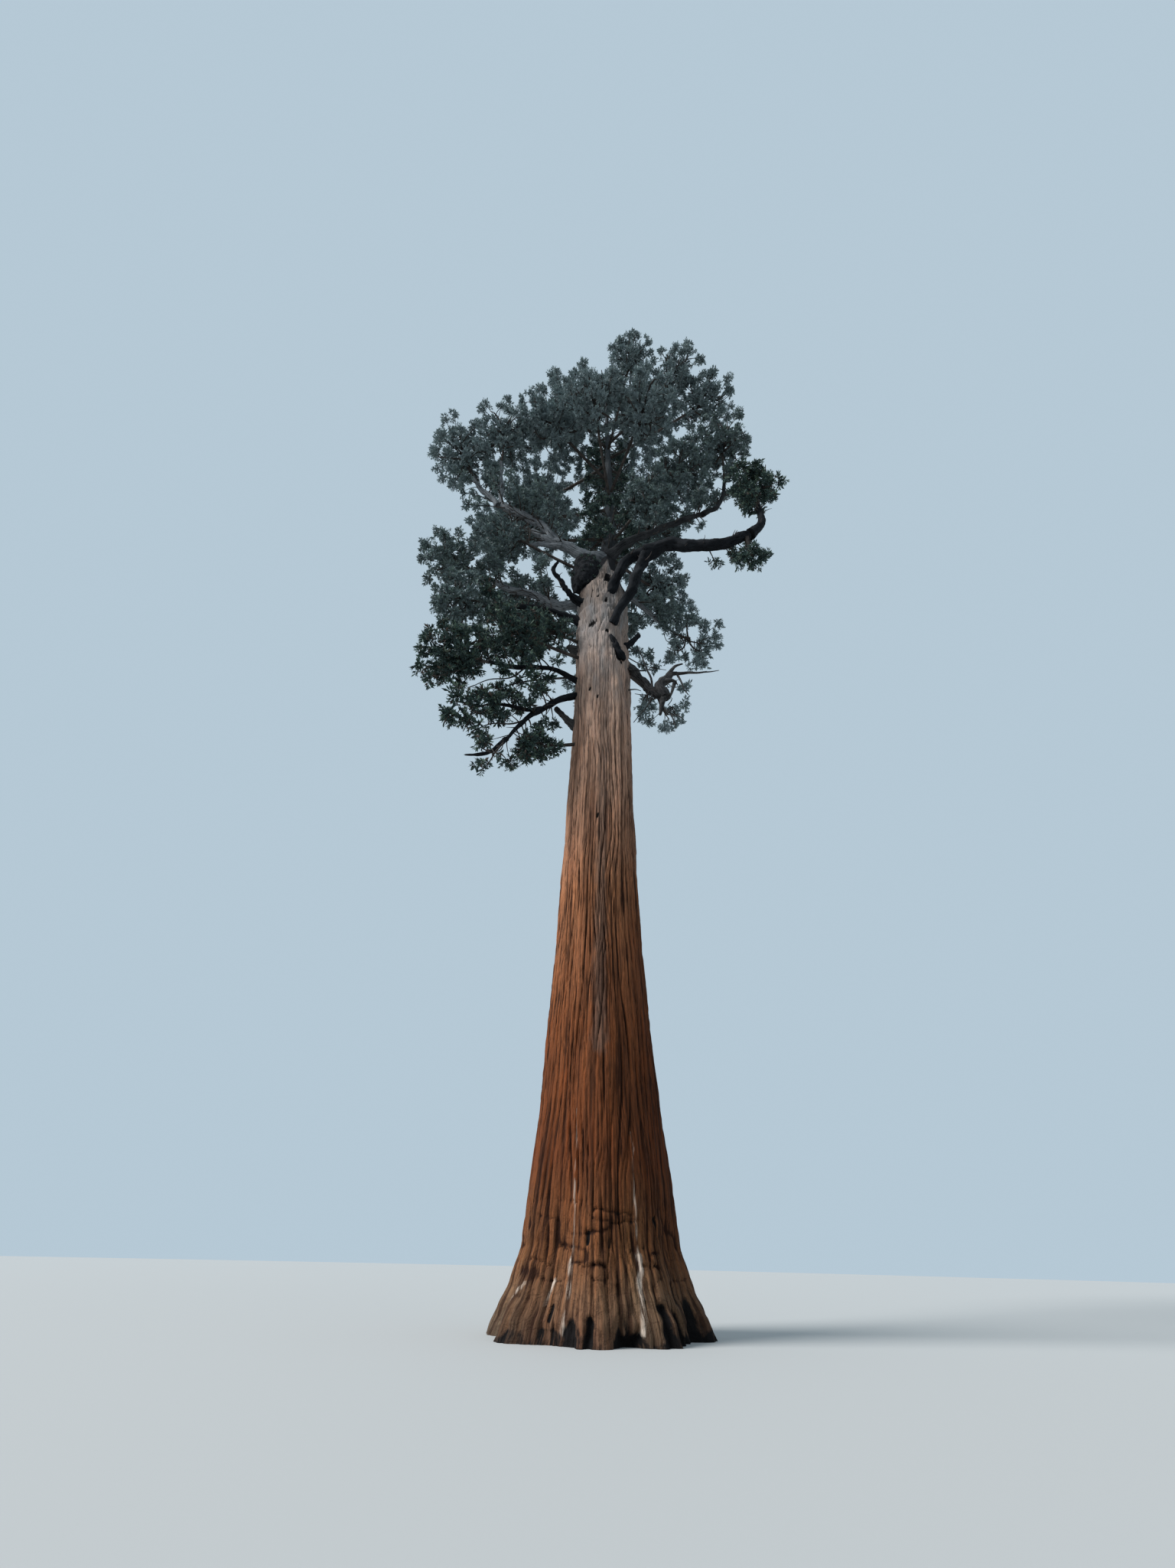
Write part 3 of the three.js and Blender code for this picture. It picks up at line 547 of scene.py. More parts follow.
# %% Lines on the bark
# Kind, degrees to the right of the front and height at both ends, half width, depth
BARK_LINES = [
    ("char", -59, 0.0, -59, 0.35, 0.14, 0.16),
    ("char", -28, 0.40, -27, 0.62, 0.06, 0.03),
    ("char", -15, 0.0, -14, 0.24, 0.19, 0.20),
    ("char", -5, 0.0, -4, 0.40, 0.11, 0.20),
    ("char", 13, 0.0, 19, 0.05, 0.24, 0.32),
    ("char", 37, 0.0, 36, 0.66, 0.12, 0.24),
    ("char", 46, 0.0, 45, 0.52, 0.15, 0.28),
    ("char", 56, 0.0, 54, 0.45, 0.15, 0.24),
    ("char", 70, 0.0, 69, 0.50, 0.22, 0.28),
    ("char", 60, 0.84, 59, 1.02, 0.12, 0.14),
    ("char", -6.5, 2.02, -5.6, 2.20, 0.07, 0.12),
    ("char", 49, 2.1, 48, 2.6, 0.08, 0.14),
    ("char", 118, 0.0, 116, 0.6, 0.22, 0.28),
    ("char", 165, 0.0, 168, 0.9, 0.30, 0.34),
    ("char", -128, 0.0, -126, 0.5, 0.24, 0.28),
    ("crack", 7.5, 2.25, 6.2, 1.25, 0.035, 0.12),
    ("crack", 6.2, 1.25, 5.6, 0.6, 0.025, 0.09),
    ("crack", 12, 1.1, 11, 0.55, 0.03, 0.09),
    ("crack", -4, 2.74, 26, 2.62, 0.030, 0.07),
    ("crack", 10, 2.44, 27.5, 2.46, 0.030, 0.07),
    ("crack", -12, 1.49, 4, 1.52, 0.034, 0.09),
    ("crack", -30, 1.9, -19, 1.86, 0.030, 0.07),
    ("crack", -48, 1.62, -33, 1.55, 0.030, 0.07),
    ("crack", 30, 1.55, 44, 1.5, 0.030, 0.07),
    ("crack", -22, 2.9, -14, 2.86, 0.026, 0.06),
    ("streak", -19.4, 3.6, -18.5, 1.9, 0.018, -0.02),
    ("streak", -18.5, 1.9, -17.6, 0.9, 0.050, -0.03),
    ("streak", -17.6, 0.9, -18.6, 0.25, 0.050, -0.03),
    ("streak", 28.3, 3.6, 27.6, 1.7, 0.018, -0.02),
    ("streak", 27.6, 1.7, 26.6, 0.9, 0.050, -0.03),
    ("streak", 26.6, 0.9, 24.0, 0.2, 0.042, -0.03),
    ("streak", -30, 1.15, -33, 0.7, 0.030, -0.02),
    ("streak", -48, 1.1, -54, 0.75, 0.030, -0.02),
    ("streak", -21, 5.2, -19.4, 3.6, 0.012, -0.01),
    ("streak", 28.8, 4.6, 28.3, 3.6, 0.012, -0.01),
    ("grey", 0, 7.0, 2, 17.0, 0.17, 0.0),
    ("grey", 2, 17.0, 6, 27.0, 0.22, 0.0),
    ("char", 12, 34.8, 14, 35.8, 0.24, 0.18),
    ("char", -27, 30.4, -21, 30.5, 0.19, 0.16),
    ("char", 9, 29.4, 10, 29.6, 0.11, 0.10),
    ("char", 8, 32.6, 9, 32.7, 0.09, 0.08),
    ("char", -11, 32.9, -9, 33.0, 0.08, 0.06),
    ("char", -25, 24.65, -24, 24.8, 0.06, 0.06),
    ("char", -9, 23.9, -8, 24.1, 0.05, 0.05),
    ("char", -5, 16.4, -4, 16.55, 0.05, 0.04),
    ("char", 27, 28.6, 33, 28.0, 0.10, 0.05),
    ("char", 33, 28.0, 42, 27.4, 0.20, 0.08),
    ("crack", 13, 30.8, -1, 30.4, 0.04, 0.08),
    ("crack", -1, 30.4, -7, 29.5, 0.04, 0.08),
    ("crack", -7, 29.5, 10, 29.5, 0.04, 0.08),
    ("crack", -30, 28.4, -14, 28.0, 0.04, 0.08),
    ("crack", 2, 33.0, 14, 32.4, 0.04, 0.07),
    ("crack", -24, 33.9, -30, 32.5, 0.04, 0.08),
    ("crack", -16, 34.9, -7, 33.2, 0.04, 0.08),
    ("crack", 4, 36.6, 7, 34.6, 0.04, 0.09),
]
LINE_WAVER = 0.035
LINE_RISE = 0.16
LINE_RISE_CELL = 0.5
LINE_BREAKS = 2.6
LINE_BREAKS_BELOW = 0.12
LINE_WIDTHS = (0.6, 0.8)
LINE_MARK_REACH = 1.7
FAINT_WIDTH = 0.034
CRACK_CHAR = 0.62
print("lines on the bark:", len(BARK_LINES))


# %% Drawing a line on the bark
def distance_to_line(across, height, line):
    """Distance on the unrolled bark, in metres, from each point to one drawn line."""
    _, turn_from, low, turn_to, high, _, _ = line
    radius = trunk_row((low + high) / 2)[0]
    start = np.array([math.radians(turn_from) * radius, low])
    along = np.array([math.radians(turn_to) * radius, high]) - start
    from_start = np.stack([across * radius, height], 1) - start
    share = np.clip(from_start @ along / (along @ along), 0, 1)
    return np.linalg.norm(from_start - share[:, None] * along, axis=1)


def draw_lines(turn, height, marks, depth, wobble, waver):
    """Mark and sink what each line touches; cracks mark it as char, and faint lines break off."""
    wavering = turn + LINE_WAVER * (waver - 0.5)
    rise = soft_noise(turn / (2 * math.pi), height / LINE_RISE_CELL, 90, 47) - 0.5
    bumpy = height + LINE_RISE * rise
    breaks = np.clip(LINE_BREAKS * (wobble - LINE_BREAKS_BELOW), 0, 1)
    for line in BARK_LINES:
        kind, half_width, sunk = line[0], line[5], line[6]
        width = half_width * (LINE_WIDTHS[0] + LINE_WIDTHS[1] * wobble)
        near = distance_to_line(wavering, bumpy, line) / width
        touch = np.clip(LINE_MARK_REACH - near, 0, 1)
        if kind in ("crack", "streak"):
            touch = touch * breaks * min(1, half_width / FAINT_WIDTH)
        name = "char" if kind == "crack" else kind
        marks[name] = np.maximum(marks[name], touch * (CRACK_CHAR if kind == "crack" else 1))
        depth += sunk * np.exp(-near * near)


# %% [markdown]
# ## The bleached top
#
# Near the old broken top the bark is gone and the wood is bleached grey-beige. It ends in a point on the
# right of the front, above which all is dark up to the leader. Two marks by height and by the turn round the
# trunk say so to the material. Bare wood has no deep furrows, so they will fade by the same heights.

# %% Bleached wood
BLEACH_FROM = 22
BLEACH_FULL = 32
BLEACH_ONSET = 4
BLEACH_PATCHES = 1.1
SHOULDER_HEIGHT = 34.0
SHOULDER_BLEND = 0.6
POINT_HEIGHT = 38.4
POINT_BLEND = 0.3
POINT_CURVE = 0.8
POINT_TURN = math.radians(13)
POINT_LEFT_WIDTH = math.radians(62)
POINT_RIGHT_WIDTH = math.radians(48)
POINT_EDGE = 0.10
POINT_EDGE_WAVER = 0.25


def rising(height, low, high):
    """0 up to the low height, 1 from the high one on."""
    return np.clip((height - low) / (high - low), 0, 1)


def bleach_and_shade(turn, height, patches, lumps):
    rise = rising(height, BLEACH_FROM, BLEACH_FULL)
    bleach = np.clip(rise + (patches - 0.5) * BLEACH_PATCHES * (1 - rise), 0, 1)
    bleach = bleach * np.clip(BLEACH_ONSET * rise, 0, 1)
    up = rising(height, SHOULDER_HEIGHT, POINT_HEIGHT)
    half_width = np.where(turn < POINT_TURN, POINT_LEFT_WIDTH, POINT_RIGHT_WIDTH)
    outside = np.abs(turn - POINT_TURN) - (1 - up) ** POINT_CURVE * half_width - lumps * POINT_EDGE_WAVER
    shade = np.clip(outside / POINT_EDGE, 0, 1) * np.clip((height - SHOULDER_HEIGHT) / SHOULDER_BLEND, 0, 1)
    shade = np.maximum(shade, np.clip((height - POINT_HEIGHT) / POINT_BLEND, 0, 1))
    return {"bleach": bleach * (1 - shade), "shade": shade}


# %% [markdown]
# ## Furrows
#
# Furrows are upright stripes round the trunk. A tall soft noise sways them, so that they crowd, part and
# almost touch, and a second noise makes each one deepen and die out along its way. Low cells that are wider
# than tall are folded at one half, where their edges give the cross cracks above the foot.

# %% Furrows
FURROW_SWAY = 2.3
FURROW_BREAK_CELL = 0.6
FURROW_STRENGTH = 1.5


def furrows(share_round, along, count, cell_height, sharpness, seed):
    """How deep each point lies in a furrow, from 0 on a ridge to 1 in the furrow."""
    sway = FURROW_SWAY * (soft_noise(share_round, along / cell_height, max(3, count // 3), seed) - 0.5)
    fold = np.abs(2 * ((count * share_round + sway) % 1.0) - 1)
    strength = soft_noise(share_round, along / (FURROW_BREAK_CELL * cell_height), count, seed + 1)
    return fold**sharpness * np.clip(FURROW_STRENGTH * strength, 0, 1)


def cross_cracks(share_round, along, cells, cell_height, sharpness, seed):
    field = soft_noise(share_round, along / cell_height, cells, seed)
    return np.clip(1 - np.abs(2 * field - 1), 0, 1) ** sharpness


# %% [markdown]
# ## The relief of the bark
#
# Furrows are worn shallow high on the trunk and near the foot, where knobs and the cross cracks take over.
# On the bleached wood larger gnarls swell and sink. All of it is one depth for each point, taken off the
# radius, so the pieces of the trunk need no more than one surface.

# %% Relief tables
# Soft noises all over the trunk: height of a cell in metres, cells round the trunk, seed
TRUNK_NOISES = {
    "wobble": (0.25, 130, 41),
    "waver": (0.3, 40, 45),
    "lumps": (2.0, 16, 51),
    "patches": (1.1, 26, 31),
    "knobs": (0.22, 70, 61),
}
# Furrows and cracks: how many, height of a cell, sharpness, seed
MAJOR_FURROWS = (54, 3.2, 4, 11)
FINE_FURROWS = (104, 1.1, 3, 21)
CROSS_CRACKS = (26, 0.34, 8, 71)
FURROW_DEPTH = 0.105
FURROW_PATCHES = (0.45, 0.8)
FINE_DEPTH = 0.045
CROSS_DEPTH = 0.07
CROSS_MIDDLE = 1.9
CROSS_REACH = 1.5
WOBBLE_DEPTH = 0.03
LUMP_DEPTH = 0.08
# Where furrows are worn, and how much of the main and the fine ones is lost there
WORN_FROM = 13
WORN_FULL = 27
WORN_LOSS = (0.62, 0.45)
FOOT_WEAR = (1.5, 1.4)
FOOT_WEAR_LOSS = (0.5, 0.3)
# Knobs at the foot, which are gone at a height of the product of the two numbers
FOOT_KNOBS = (1.25, 1.3)
FOOT_DEPTH = 0.06
FULL_DEPTH_RADIUS = 1.5
LEAST_DEPTH_SHARE = 0.12
# Gnarls of the bleached wood
BARE_LUMPS = 0.09
GNARLS = 19
GNARL_HEIGHT = 0.55
GNARL_TWIST = 0.012
GNARL_DEPTH = 0.24
GNARL_HOLLOW_ABOVE = 0.66


def low_down(height, start, fade):
    """1 near the ground, then falling to 0 at start times fade."""
    return np.clip(start - height / fade, 0, 1)


def trunk_relief(share_round, height, radius, soft):
    """For each point its depth under the smooth trunk, its main furrow and its mark as a furrow."""
    wobble, patches, knobs = soft["wobble"], soft["patches"], soft["knobs"]
    major = furrows(share_round, height, *MAJOR_FURROWS)
    fine = furrows(share_round, height, *FINE_FURROWS)
    cross = cross_cracks(share_round, height, *CROSS_CRACKS)
    cross = cross * np.clip(1 - np.abs(height - CROSS_MIDDLE) / CROSS_REACH, 0, 1)
    cross = cross * np.clip(3 * (patches - 0.25), 0, 1)
    worn = rising(height, WORN_FROM, WORN_FULL)
    foot_wear = low_down(height, *FOOT_WEAR)
    major = major * (1 - WORN_LOSS[0] * worn) * (1 - FOOT_WEAR_LOSS[0] * foot_wear)
    fine = fine * (1 - WORN_LOSS[1] * worn) * (1 - FOOT_WEAR_LOSS[1] * foot_wear)
    slender = np.clip(radius / FULL_DEPTH_RADIUS, LEAST_DEPTH_SHARE, 1)
    furrow_depth = FURROW_DEPTH * major * (FURROW_PATCHES[0] + FURROW_PATCHES[1] * patches)
    depth = slender * (furrow_depth + FINE_DEPTH * fine + CROSS_DEPTH * cross)
    depth += low_down(height, *FOOT_KNOBS) * FOOT_DEPTH * (major + 1.3 * knobs - 0.5) + slender * (
        WOBBLE_DEPTH * wobble - LUMP_DEPTH * soft["lumps"]
    )
    bare = rising(height, BLEACH_FROM, BLEACH_FULL)
    gnarl = soft_noise(share_round + GNARL_TWIST * height, height / GNARL_HEIGHT, GNARLS, 81)
    depth += bare * slender * (BARE_LUMPS * (knobs - 0.5) + GNARL_DEPTH * (gnarl - 0.5))
    # Deep gnarl hollows join the furrow mark, so they take its darker colour and painted shade
    hollow = bare * np.clip(2.4 * (gnarl - GNARL_HOLLOW_ABOVE), 0, 1)
    furrow = np.clip(major + 0.5 * fine * (0.3 + wobble) + cross + 0.5 * hollow, 0, 1)
    return depth, major, furrow


# %% Char and the painted shade of one side
CHAR_HEIGHT = 0.30
CHAR_RIGHT_RISE = 0.16
CHAR_RIGHT_FROM = 0.35
CHAR_RIGHT_BLEND = 0.5
CHAR_RAGGED = 0.4
CHAR_FADE = 0.22
CHAR_SPECKS = 1.6
CHAR_SPECKS_ABOVE = 0.55
CHAR_ON_RIDGES = 0.64
CHAR_ON_RIGHT = 0.2
CHAR_IN_FURROWS = 0.5
CHAR_MOST = 0.95
# The painted shade of the side away from the sun: its turn from the front, the height where it ends and how
# far it fades below that
SHADED_SIDE_TURN = math.radians(95)
SHADED_SIDE_TO = 26
SHADED_SIDE_FADE = 9


def foot_char(turn, height, major, soft):
    """Char that creeps up from the ground, higher on the right and darker in the furrows."""
    right = np.clip((turn - CHAR_RIGHT_FROM) / CHAR_RIGHT_BLEND, 0, 1)
    top = CHAR_HEIGHT + CHAR_RIGHT_RISE * right + CHAR_RAGGED * (soft["patches"] - 0.5)
    low_char = np.clip((top - height) / CHAR_FADE + CHAR_SPECKS * (soft["knobs"] - CHAR_SPECKS_ABOVE), 0, 1)
    darkness = CHAR_ON_RIDGES + CHAR_ON_RIGHT * right + CHAR_IN_FURROWS * major
    return low_char * np.clip(darkness, 0, CHAR_MOST)


def side_shade(turn, height):
    """Painted shade: darker bark on the side of the lower trunk that faces away from the sun."""
    return np.clip(1.3 * np.cos(turn - SHADED_SIDE_TURN) - 0.3, 0, 1) * np.clip((SHADED_SIDE_TO - height) / SHADED_SIDE_FADE, 0, 1)


# %% Points of the trunk
def broad_form(radius, angle, height):
    """The radius with the flutes of the flare and the shallow hollows that wind up the trunk."""
    flare = low_down(height, 1, FLARE_HEIGHT) ** 2
    ribs = 1 + flare * FLARE_RIB_DEPTH * np.cos(FLARE_RIBS * angle + FLARE_RIB_TURN)
    hollows = 1 + TRUNK_HOLLOW_DEPTH * np.cos(TRUNK_HOLLOWS * angle + height * TRUNK_HOLLOW_TWIST)
    return radius * ribs * hollows


def trunk_points(share_round, height):
    """Places on the bark and the marks there, for a share round from behind and a height."""
    turn = (share_round * 2 - 1) * math.pi
    angle = turn - math.pi / 2
    radius, middle_x, middle_y = trunk_row(height)
    soft = {
        name: soft_noise(share_round, height / cell_height, cells, seed)
        for name, (cell_height, cells, seed) in TRUNK_NOISES.items()
    }
    soft["lumps"] -= 0.5
    depth, major, furrow = trunk_relief(share_round, height, radius, soft)
    marks = {"furrow": furrow, **{name: np.zeros_like(height) for name in ("char", "streak", "grey")}}
    marks["shaded_side"] = side_shade(turn, height)
    draw_lines(turn, height, marks, depth, soft["wobble"], soft["waver"])
    marks["char"] = np.maximum(marks["char"], foot_char(turn, height, major, soft))
    marks.update(bleach_and_shade(turn, height, soft["patches"], soft["lumps"]))
    marks["grain"] = grain_place(turn, height, GRAIN_RADIUS)
    out = broad_form(radius, angle, height) - depth
    places = np.stack([middle_x + out * np.cos(angle), middle_y + out * np.sin(angle), height], 1)
    return places, marks


sample = trunk_points(np.linspace(0, 1, 9), np.full(9, 20.0))[0]
print("radius at 20 m:", round(float(np.linalg.norm(sample[:, :2], axis=1).mean()), 2), "m")

# %% [markdown]
# ## Three pieces for one trunk
#
# The flare, the column and the thin leader need very different meshes, so they are three pieces. The flare
# has the closest rings, because its hollows, cracks and streaks are the nearest to the eye. Flare and column
# share one ring of corners, so no seam shows between them.

# %% Flare, column and leader
# Name: corners round, rings, the lowest and highest height, how much the rings crowd towards the foot
TRUNK_PIECES = {
    "flare_bark": (460, 205, 0, 11, 1.3),
    "trunk_bark": (460, 210, 11, 39.4, 1),
    "leader_bark": (56, 170, 38.2, 73.2, 1),
}


def trunk_span(low, high, crowding):
    """The shape of the stretch of trunk between two heights."""

    def shape(share_round, share_up):
        return trunk_points(share_round, low + (high - low) * share_up**crowding)

    return shape


def make_trunk():
    for name, (sides, rings, low, high, crowding) in TRUNK_PIECES.items():
        shape = trunk_span(low, high, crowding)
        piece = rolled_tube(name, sides, rings, shape, bark_material, ["trunk"])
        print(name, "has", len(piece.data.polygons), "faces")


make_trunk()

# %% [markdown]
# ## Bark of the limbs and bare dead wood
#
# The living limbs are painted almost black, darker and greyer than the trunk, as painted shade for their dark
# undersides seen from below. Their finer furrows run along them. The high boughs on the left are an older,
# paler grey, and the one on the right is dusky. Dead limbs have lost their bark: they are grey where the
# light falls on them, cracked along the grain, and charred black in places. One recipe makes all four, and a
# table gives each its colours.

# %% Limb materials
# Name: the colours of ridges, cracks and darker patches, and fibres in a metre across the grain
LIMB_FINISHES = {
    # Living limbs: near black, which is painted shade
    "limb_bark": ((0.014, 0.016, 0.019, 1), (0.002, 0.002, 0.003, 1), (0.006, 0.007, 0.009, 1), 18),
    "grey_limb_bark": ((0.215, 0.228, 0.240, 1), (0.028, 0.031, 0.035, 1), (0.112, 0.120, 0.128, 1), 18),
    "dusky_limb_bark": ((0.044, 0.045, 0.047, 1), (0.004, 0.004, 0.005, 1), (0.017, 0.018, 0.020, 1), 18),
    "bare_dead_wood": ((0.085, 0.080, 0.077, 1), (0.006, 0.006, 0.007, 1), (0.018, 0.018, 0.020, 1), 22),
}
FIBRE_STRETCH = 0.12
LIMB_PATCH_CELLS = (1.4, 1.4, 1.4)


def make_limb_material(name, ridge, crack, patch, fibre_count):
    graph = Graph(name)
    cells = (fibre_count, fibre_count, FIBRE_STRETCH * fibre_count)
    fibres = graph.noise(graph.mark_place("grain"), cells, detail=6, roughness=0.72)
    patches = graph.noise(graph.object_place(), LIMB_PATCH_CELLS, detail=4)
    colour = graph.mix(graph.between(patches, 0.42, 0.62, 0, 0.8), ridge, patch)
    colour = graph.mix(graph.between(fibres, 0.56, 0.36, 0, 0.8), colour, crack)
    # Darker bark and painted shade in the limb's furrows
    colour = graph.mix(graph.between(graph.mark("furrow"), 0.15, 0.85), colour, crack)
    graph.feed(graph.shader, "Base Color", colour)
    graph.feed(graph.shader, "Roughness", graph.between(fibres, 0.2, 0.8, 0.78, 0.95))
    graph.feed(graph.shader, "Normal", graph.bump(fibres, 0.8, 0.03))
    graph.shader.inputs["Specular IOR Level"].default_value = 0.1
    return graph.material


limb_materials = {name: make_limb_material(name, *finish) for name, finish in LIMB_FINISHES.items()}
print("limb finishes:", ", ".join(limb_materials))

# %% [markdown]
# ## The limbs
#
# Each limb follows a smooth curve through the same few points as its solid. The curve is a Catmull-Rom
# spline with centripetal spacing, which never overshoots a sharp bend. A frame is carried along it without
# twist, and the rolled tube is laid on that frame with a collar at its root, furrows along it and a few
# knots.

# %% Tables of living limbs
# Name: the points along the limb, then its radius at even steps along it
LIVING_LIMBS = {
    "arm": (
        [(2.75, -2.35, 36.2), (4.1, -2.7, 36.45), (6, -3, 36.0), (7.6, -3.2, 35.9), (9.2, -3.2, 36.8)],
        [0.4, 0.4, 0.38, 0.33, 0.31],
    ),
    "arm_lower_root": (
        [(0.58, -1.3, 30.25), (1.2, -1.78, 31.4), (1.84, -2.06, 33.0), (2.43, -2.25, 34.9),
         (2.95, -2.4, 36.2)],
        [0.20, 0.26, 0.31, 0.33, 0.36],
    ),
    "arm_upper_root": (
        [(0.35, -1.0, 33.2), (0.95, -1.75, 34.7), (1.6, -2.1, 35.8), (2.3, -2.3, 36.25), (2.9, -2.37, 36.24)],
        [0.24, 0.28, 0.31, 0.33, 0.35],
    ),
    "arm_rise": ([(9.2, -3.2, 36.8), (9.85, -3.2, 37.6), (10.2, -3.2, 38.9), (10.4, -3.2, 40.6)],
                 [0.29, 0.25, 0.21, 0.18]),
    "upper_right_bough": (
        [(0.5, -0.2, 39.4), (1.3, -0.7, 40.0), (3.7, -1.2, 41.2), (5.4, -1.4, 42.0), (7.1, -1.4, 43.1)],
        [0.36, 0.27, 0.22, 0.19, 0.17],
    ),
    "upper_right_rise": ([(7.1, -1.4, 43.1), (8.2, -1.25, 44.3), (9.0, -1.2, 46.1), (9.4, -1.4, 48.6)],
                         [0.17, 0.15, 0.14, 0.12]),
    "upper_left_bough": (
        [(0.2, 0.0, 39.3), (-1.2, -0.4, 39.5), (-2.6, -0.65, 40.1), (-4.4, -0.95, 42.4), (-7.5, -1.3, 44.9)],
        [0.46, 0.36, 0.32, 0.28, 0.25],
    ),
    "upper_left_rise": ([(-7.62, -1.31, 44.8), (-8.6, -1.35, 46.3), (-9.4, -1.4, 47.6), (-10.1, -1.6, 48.9)],
                        [0.17, 0.2, 0.18, 0.15]),
    "upper_left_fork": ([(-7.45, -1.29, 45.0), (-7.65, -1.5, 47.0), (-7.85, -1.8, 49.0), (-7.95, -2.0, 50.6)],
                        [0.14, 0.17, 0.15, 0.13]),
    "left_level_bough": (
        [(-0.9, 0.2, 34.6), (-2.7, 0.05, 34.1), (-4.5, -0.1, 35.1), (-6.2, -0.3, 35.6), (-8.2, -0.7, 36.8)],
        [0.34, 0.27, 0.24, 0.2, 0.15],
    ),
    "left_low_bough": ([(-0.9, -0.3, 31.4), (-2.6, -0.8, 32.1), (-4.6, -1.3, 32.0), (-6.6, -1.7, 31.4)],
                       [0.26, 0.19, 0.16, 0.13]),
    "level_dark_bough": (
        [(-0.9, -0.3, 26.2), (-2.3, -1.0, 26.5), (-3.4, -1.6, 26.1), (-4.6, -2.2, 25.4), (-5.8, -2.8, 25.1)],
        [0.15, 0.13, 0.12, 0.11, 0.09],
    ),
    "drooping_bough": (
        [(-0.9, -0.1, 25.6), (-2.2, -0.8, 24.5), (-3.0, -1.4, 23.1), (-3.8, -2.0, 21.5), (-4.4, -2.5, 19.9)],
        [0.20, 0.17, 0.14, 0.10, 0.07],
    ),
    "drooping_side": ([(-3.0, -1.4, 23.1), (-3.6, -1.85, 22.6), (-4.4, -2.2, 22.5), (-5.3, -2.7, 22.2)],
                      [0.1, 0.1, 0.09, 0.07]),
    "back_right_bough": ([(0.8, 0.4, 36.0), (2.2, 1.3, 36.5), (3.3, 2.4, 36.8), (4.5, 3.4, 36.4)],
                         [0.24, 0.18, 0.15, 0.12]),
}
print("living limbs:", len(LIVING_LIMBS))

# %% Tables of dead limbs and snags
DEAD_LIMBS = {
    "dead_gnarled_limb": (
        [(1.0, 0, 28.9), (1.55, -0.02, 28.05), (2.1, -0.15, 26.8), (2.75, -0.35, 25.65), (3.5, -0.58, 24.85)],
        [0.30, 0.25, 0.23, 0.26, 0.28],
    ),
    "dead_limb_hook": (
        [(3.45, -0.6, 24.9), (3.27, -0.6, 25.5), (3.32, -0.6, 26.0), (3.58, -0.6, 26.45), (3.9, -0.6, 26.8),
         (4.25, -0.6, 26.82)],
        [0.22, 0.27, 0.27, 0.24, 0.17, 0.09],
    ),
    "dead_bent_snag": (
        [(-0.9, -0.6, 32.9), (-1.9, -1.2, 33.4), (-2.5, -1.5, 34.3), (-3.0, -1.8, 35.2), (-2.75, -2.0, 36.1)],
        [0.28, 0.20, 0.14, 0.12, 0.08],
    ),
    "short_right_stub": ([(0.9, -0.3, 29.2), (1.6, -0.5, 29.4), (2.0, -0.7, 29.7), (2.28, -0.83, 30.05)],
                         [0.2, 0.16, 0.12, 0.14]),
    "short_left_stub": ([(-0.9, 0, 23.0), (-1.8, -0.1, 23.7), (-2.5, -0.3, 24.4)], [0.24, 0.19, 0.14]),
}
GREY_LIMBS = (
    "upper_left_bough", "upper_left_rise", "upper_left_fork", "left_level_bough", "back_right_bough",
    "broken_end", "broken_fork",
)
DUSKY_LIMBS = ("upper_right_bough", "upper_right_rise")
# Black, rough limbs: fire has blackened the first three, and the last hangs in the shade
CHARRED_LIMBS = ("dead_bent_snag", "short_right_stub", "front_snag", "drooping_end")
# Snags and ends of limbs too small to have a solid of their own
SMALL_SNAGS = {
    "front_snag": (
        [(0.50, -1.53, 28.95), (0.64, -1.49, 28.65), (0.80, -1.40, 28.4), (0.90, -1.30, 28.1),
         (1.05, -1.15, 27.8), (1.32, -0.80, 27.7)],
        [0.08, 0.13, 0.17, 0.13, 0.22, 0.16],
    ),
    "left_knob": ([(-1.3, -0.35, 28.9), (-1.75, -0.45, 29.05), (-2.0, -0.5, 29.35)], [0.24, 0.20, 0.15]),
    "broken_end": ([(-2.9, -0.72, 40.3), (-3.5, -0.78, 40.7), (-4.15, -0.8, 41.3), (-5.1, -0.85, 42.0)],
                   [0.25, 0.24, 0.21, 0.19]),
    "broken_fork": ([(-2.8, -0.7, 40.0), (-3.5, -0.75, 40.15), (-4.3, -0.8, 40.2), (-5.1, -0.8, 39.95)],
                    [0.18, 0.15, 0.15, 0.11]),
    "drooping_end": (
        [(-4.3, -2.45, 20.1), (-4.7, -2.6, 19.35), (-4.95, -2.6, 19.12), (-5.55, -2.6, 19.0),
         (-6.09, -2.6, 18.97)],
        [0.09, 0.08, 0.07, 0.055, 0.03],
    ),
}
ALL_LIMBS = {**LIVING_LIMBS, **DEAD_LIMBS}
print("dead limbs:", len(DEAD_LIMBS), "and small snags:", len(SMALL_SNAGS))

# %% Smooth curves
CURVE_STEPS = 24
STEEP = 0.9


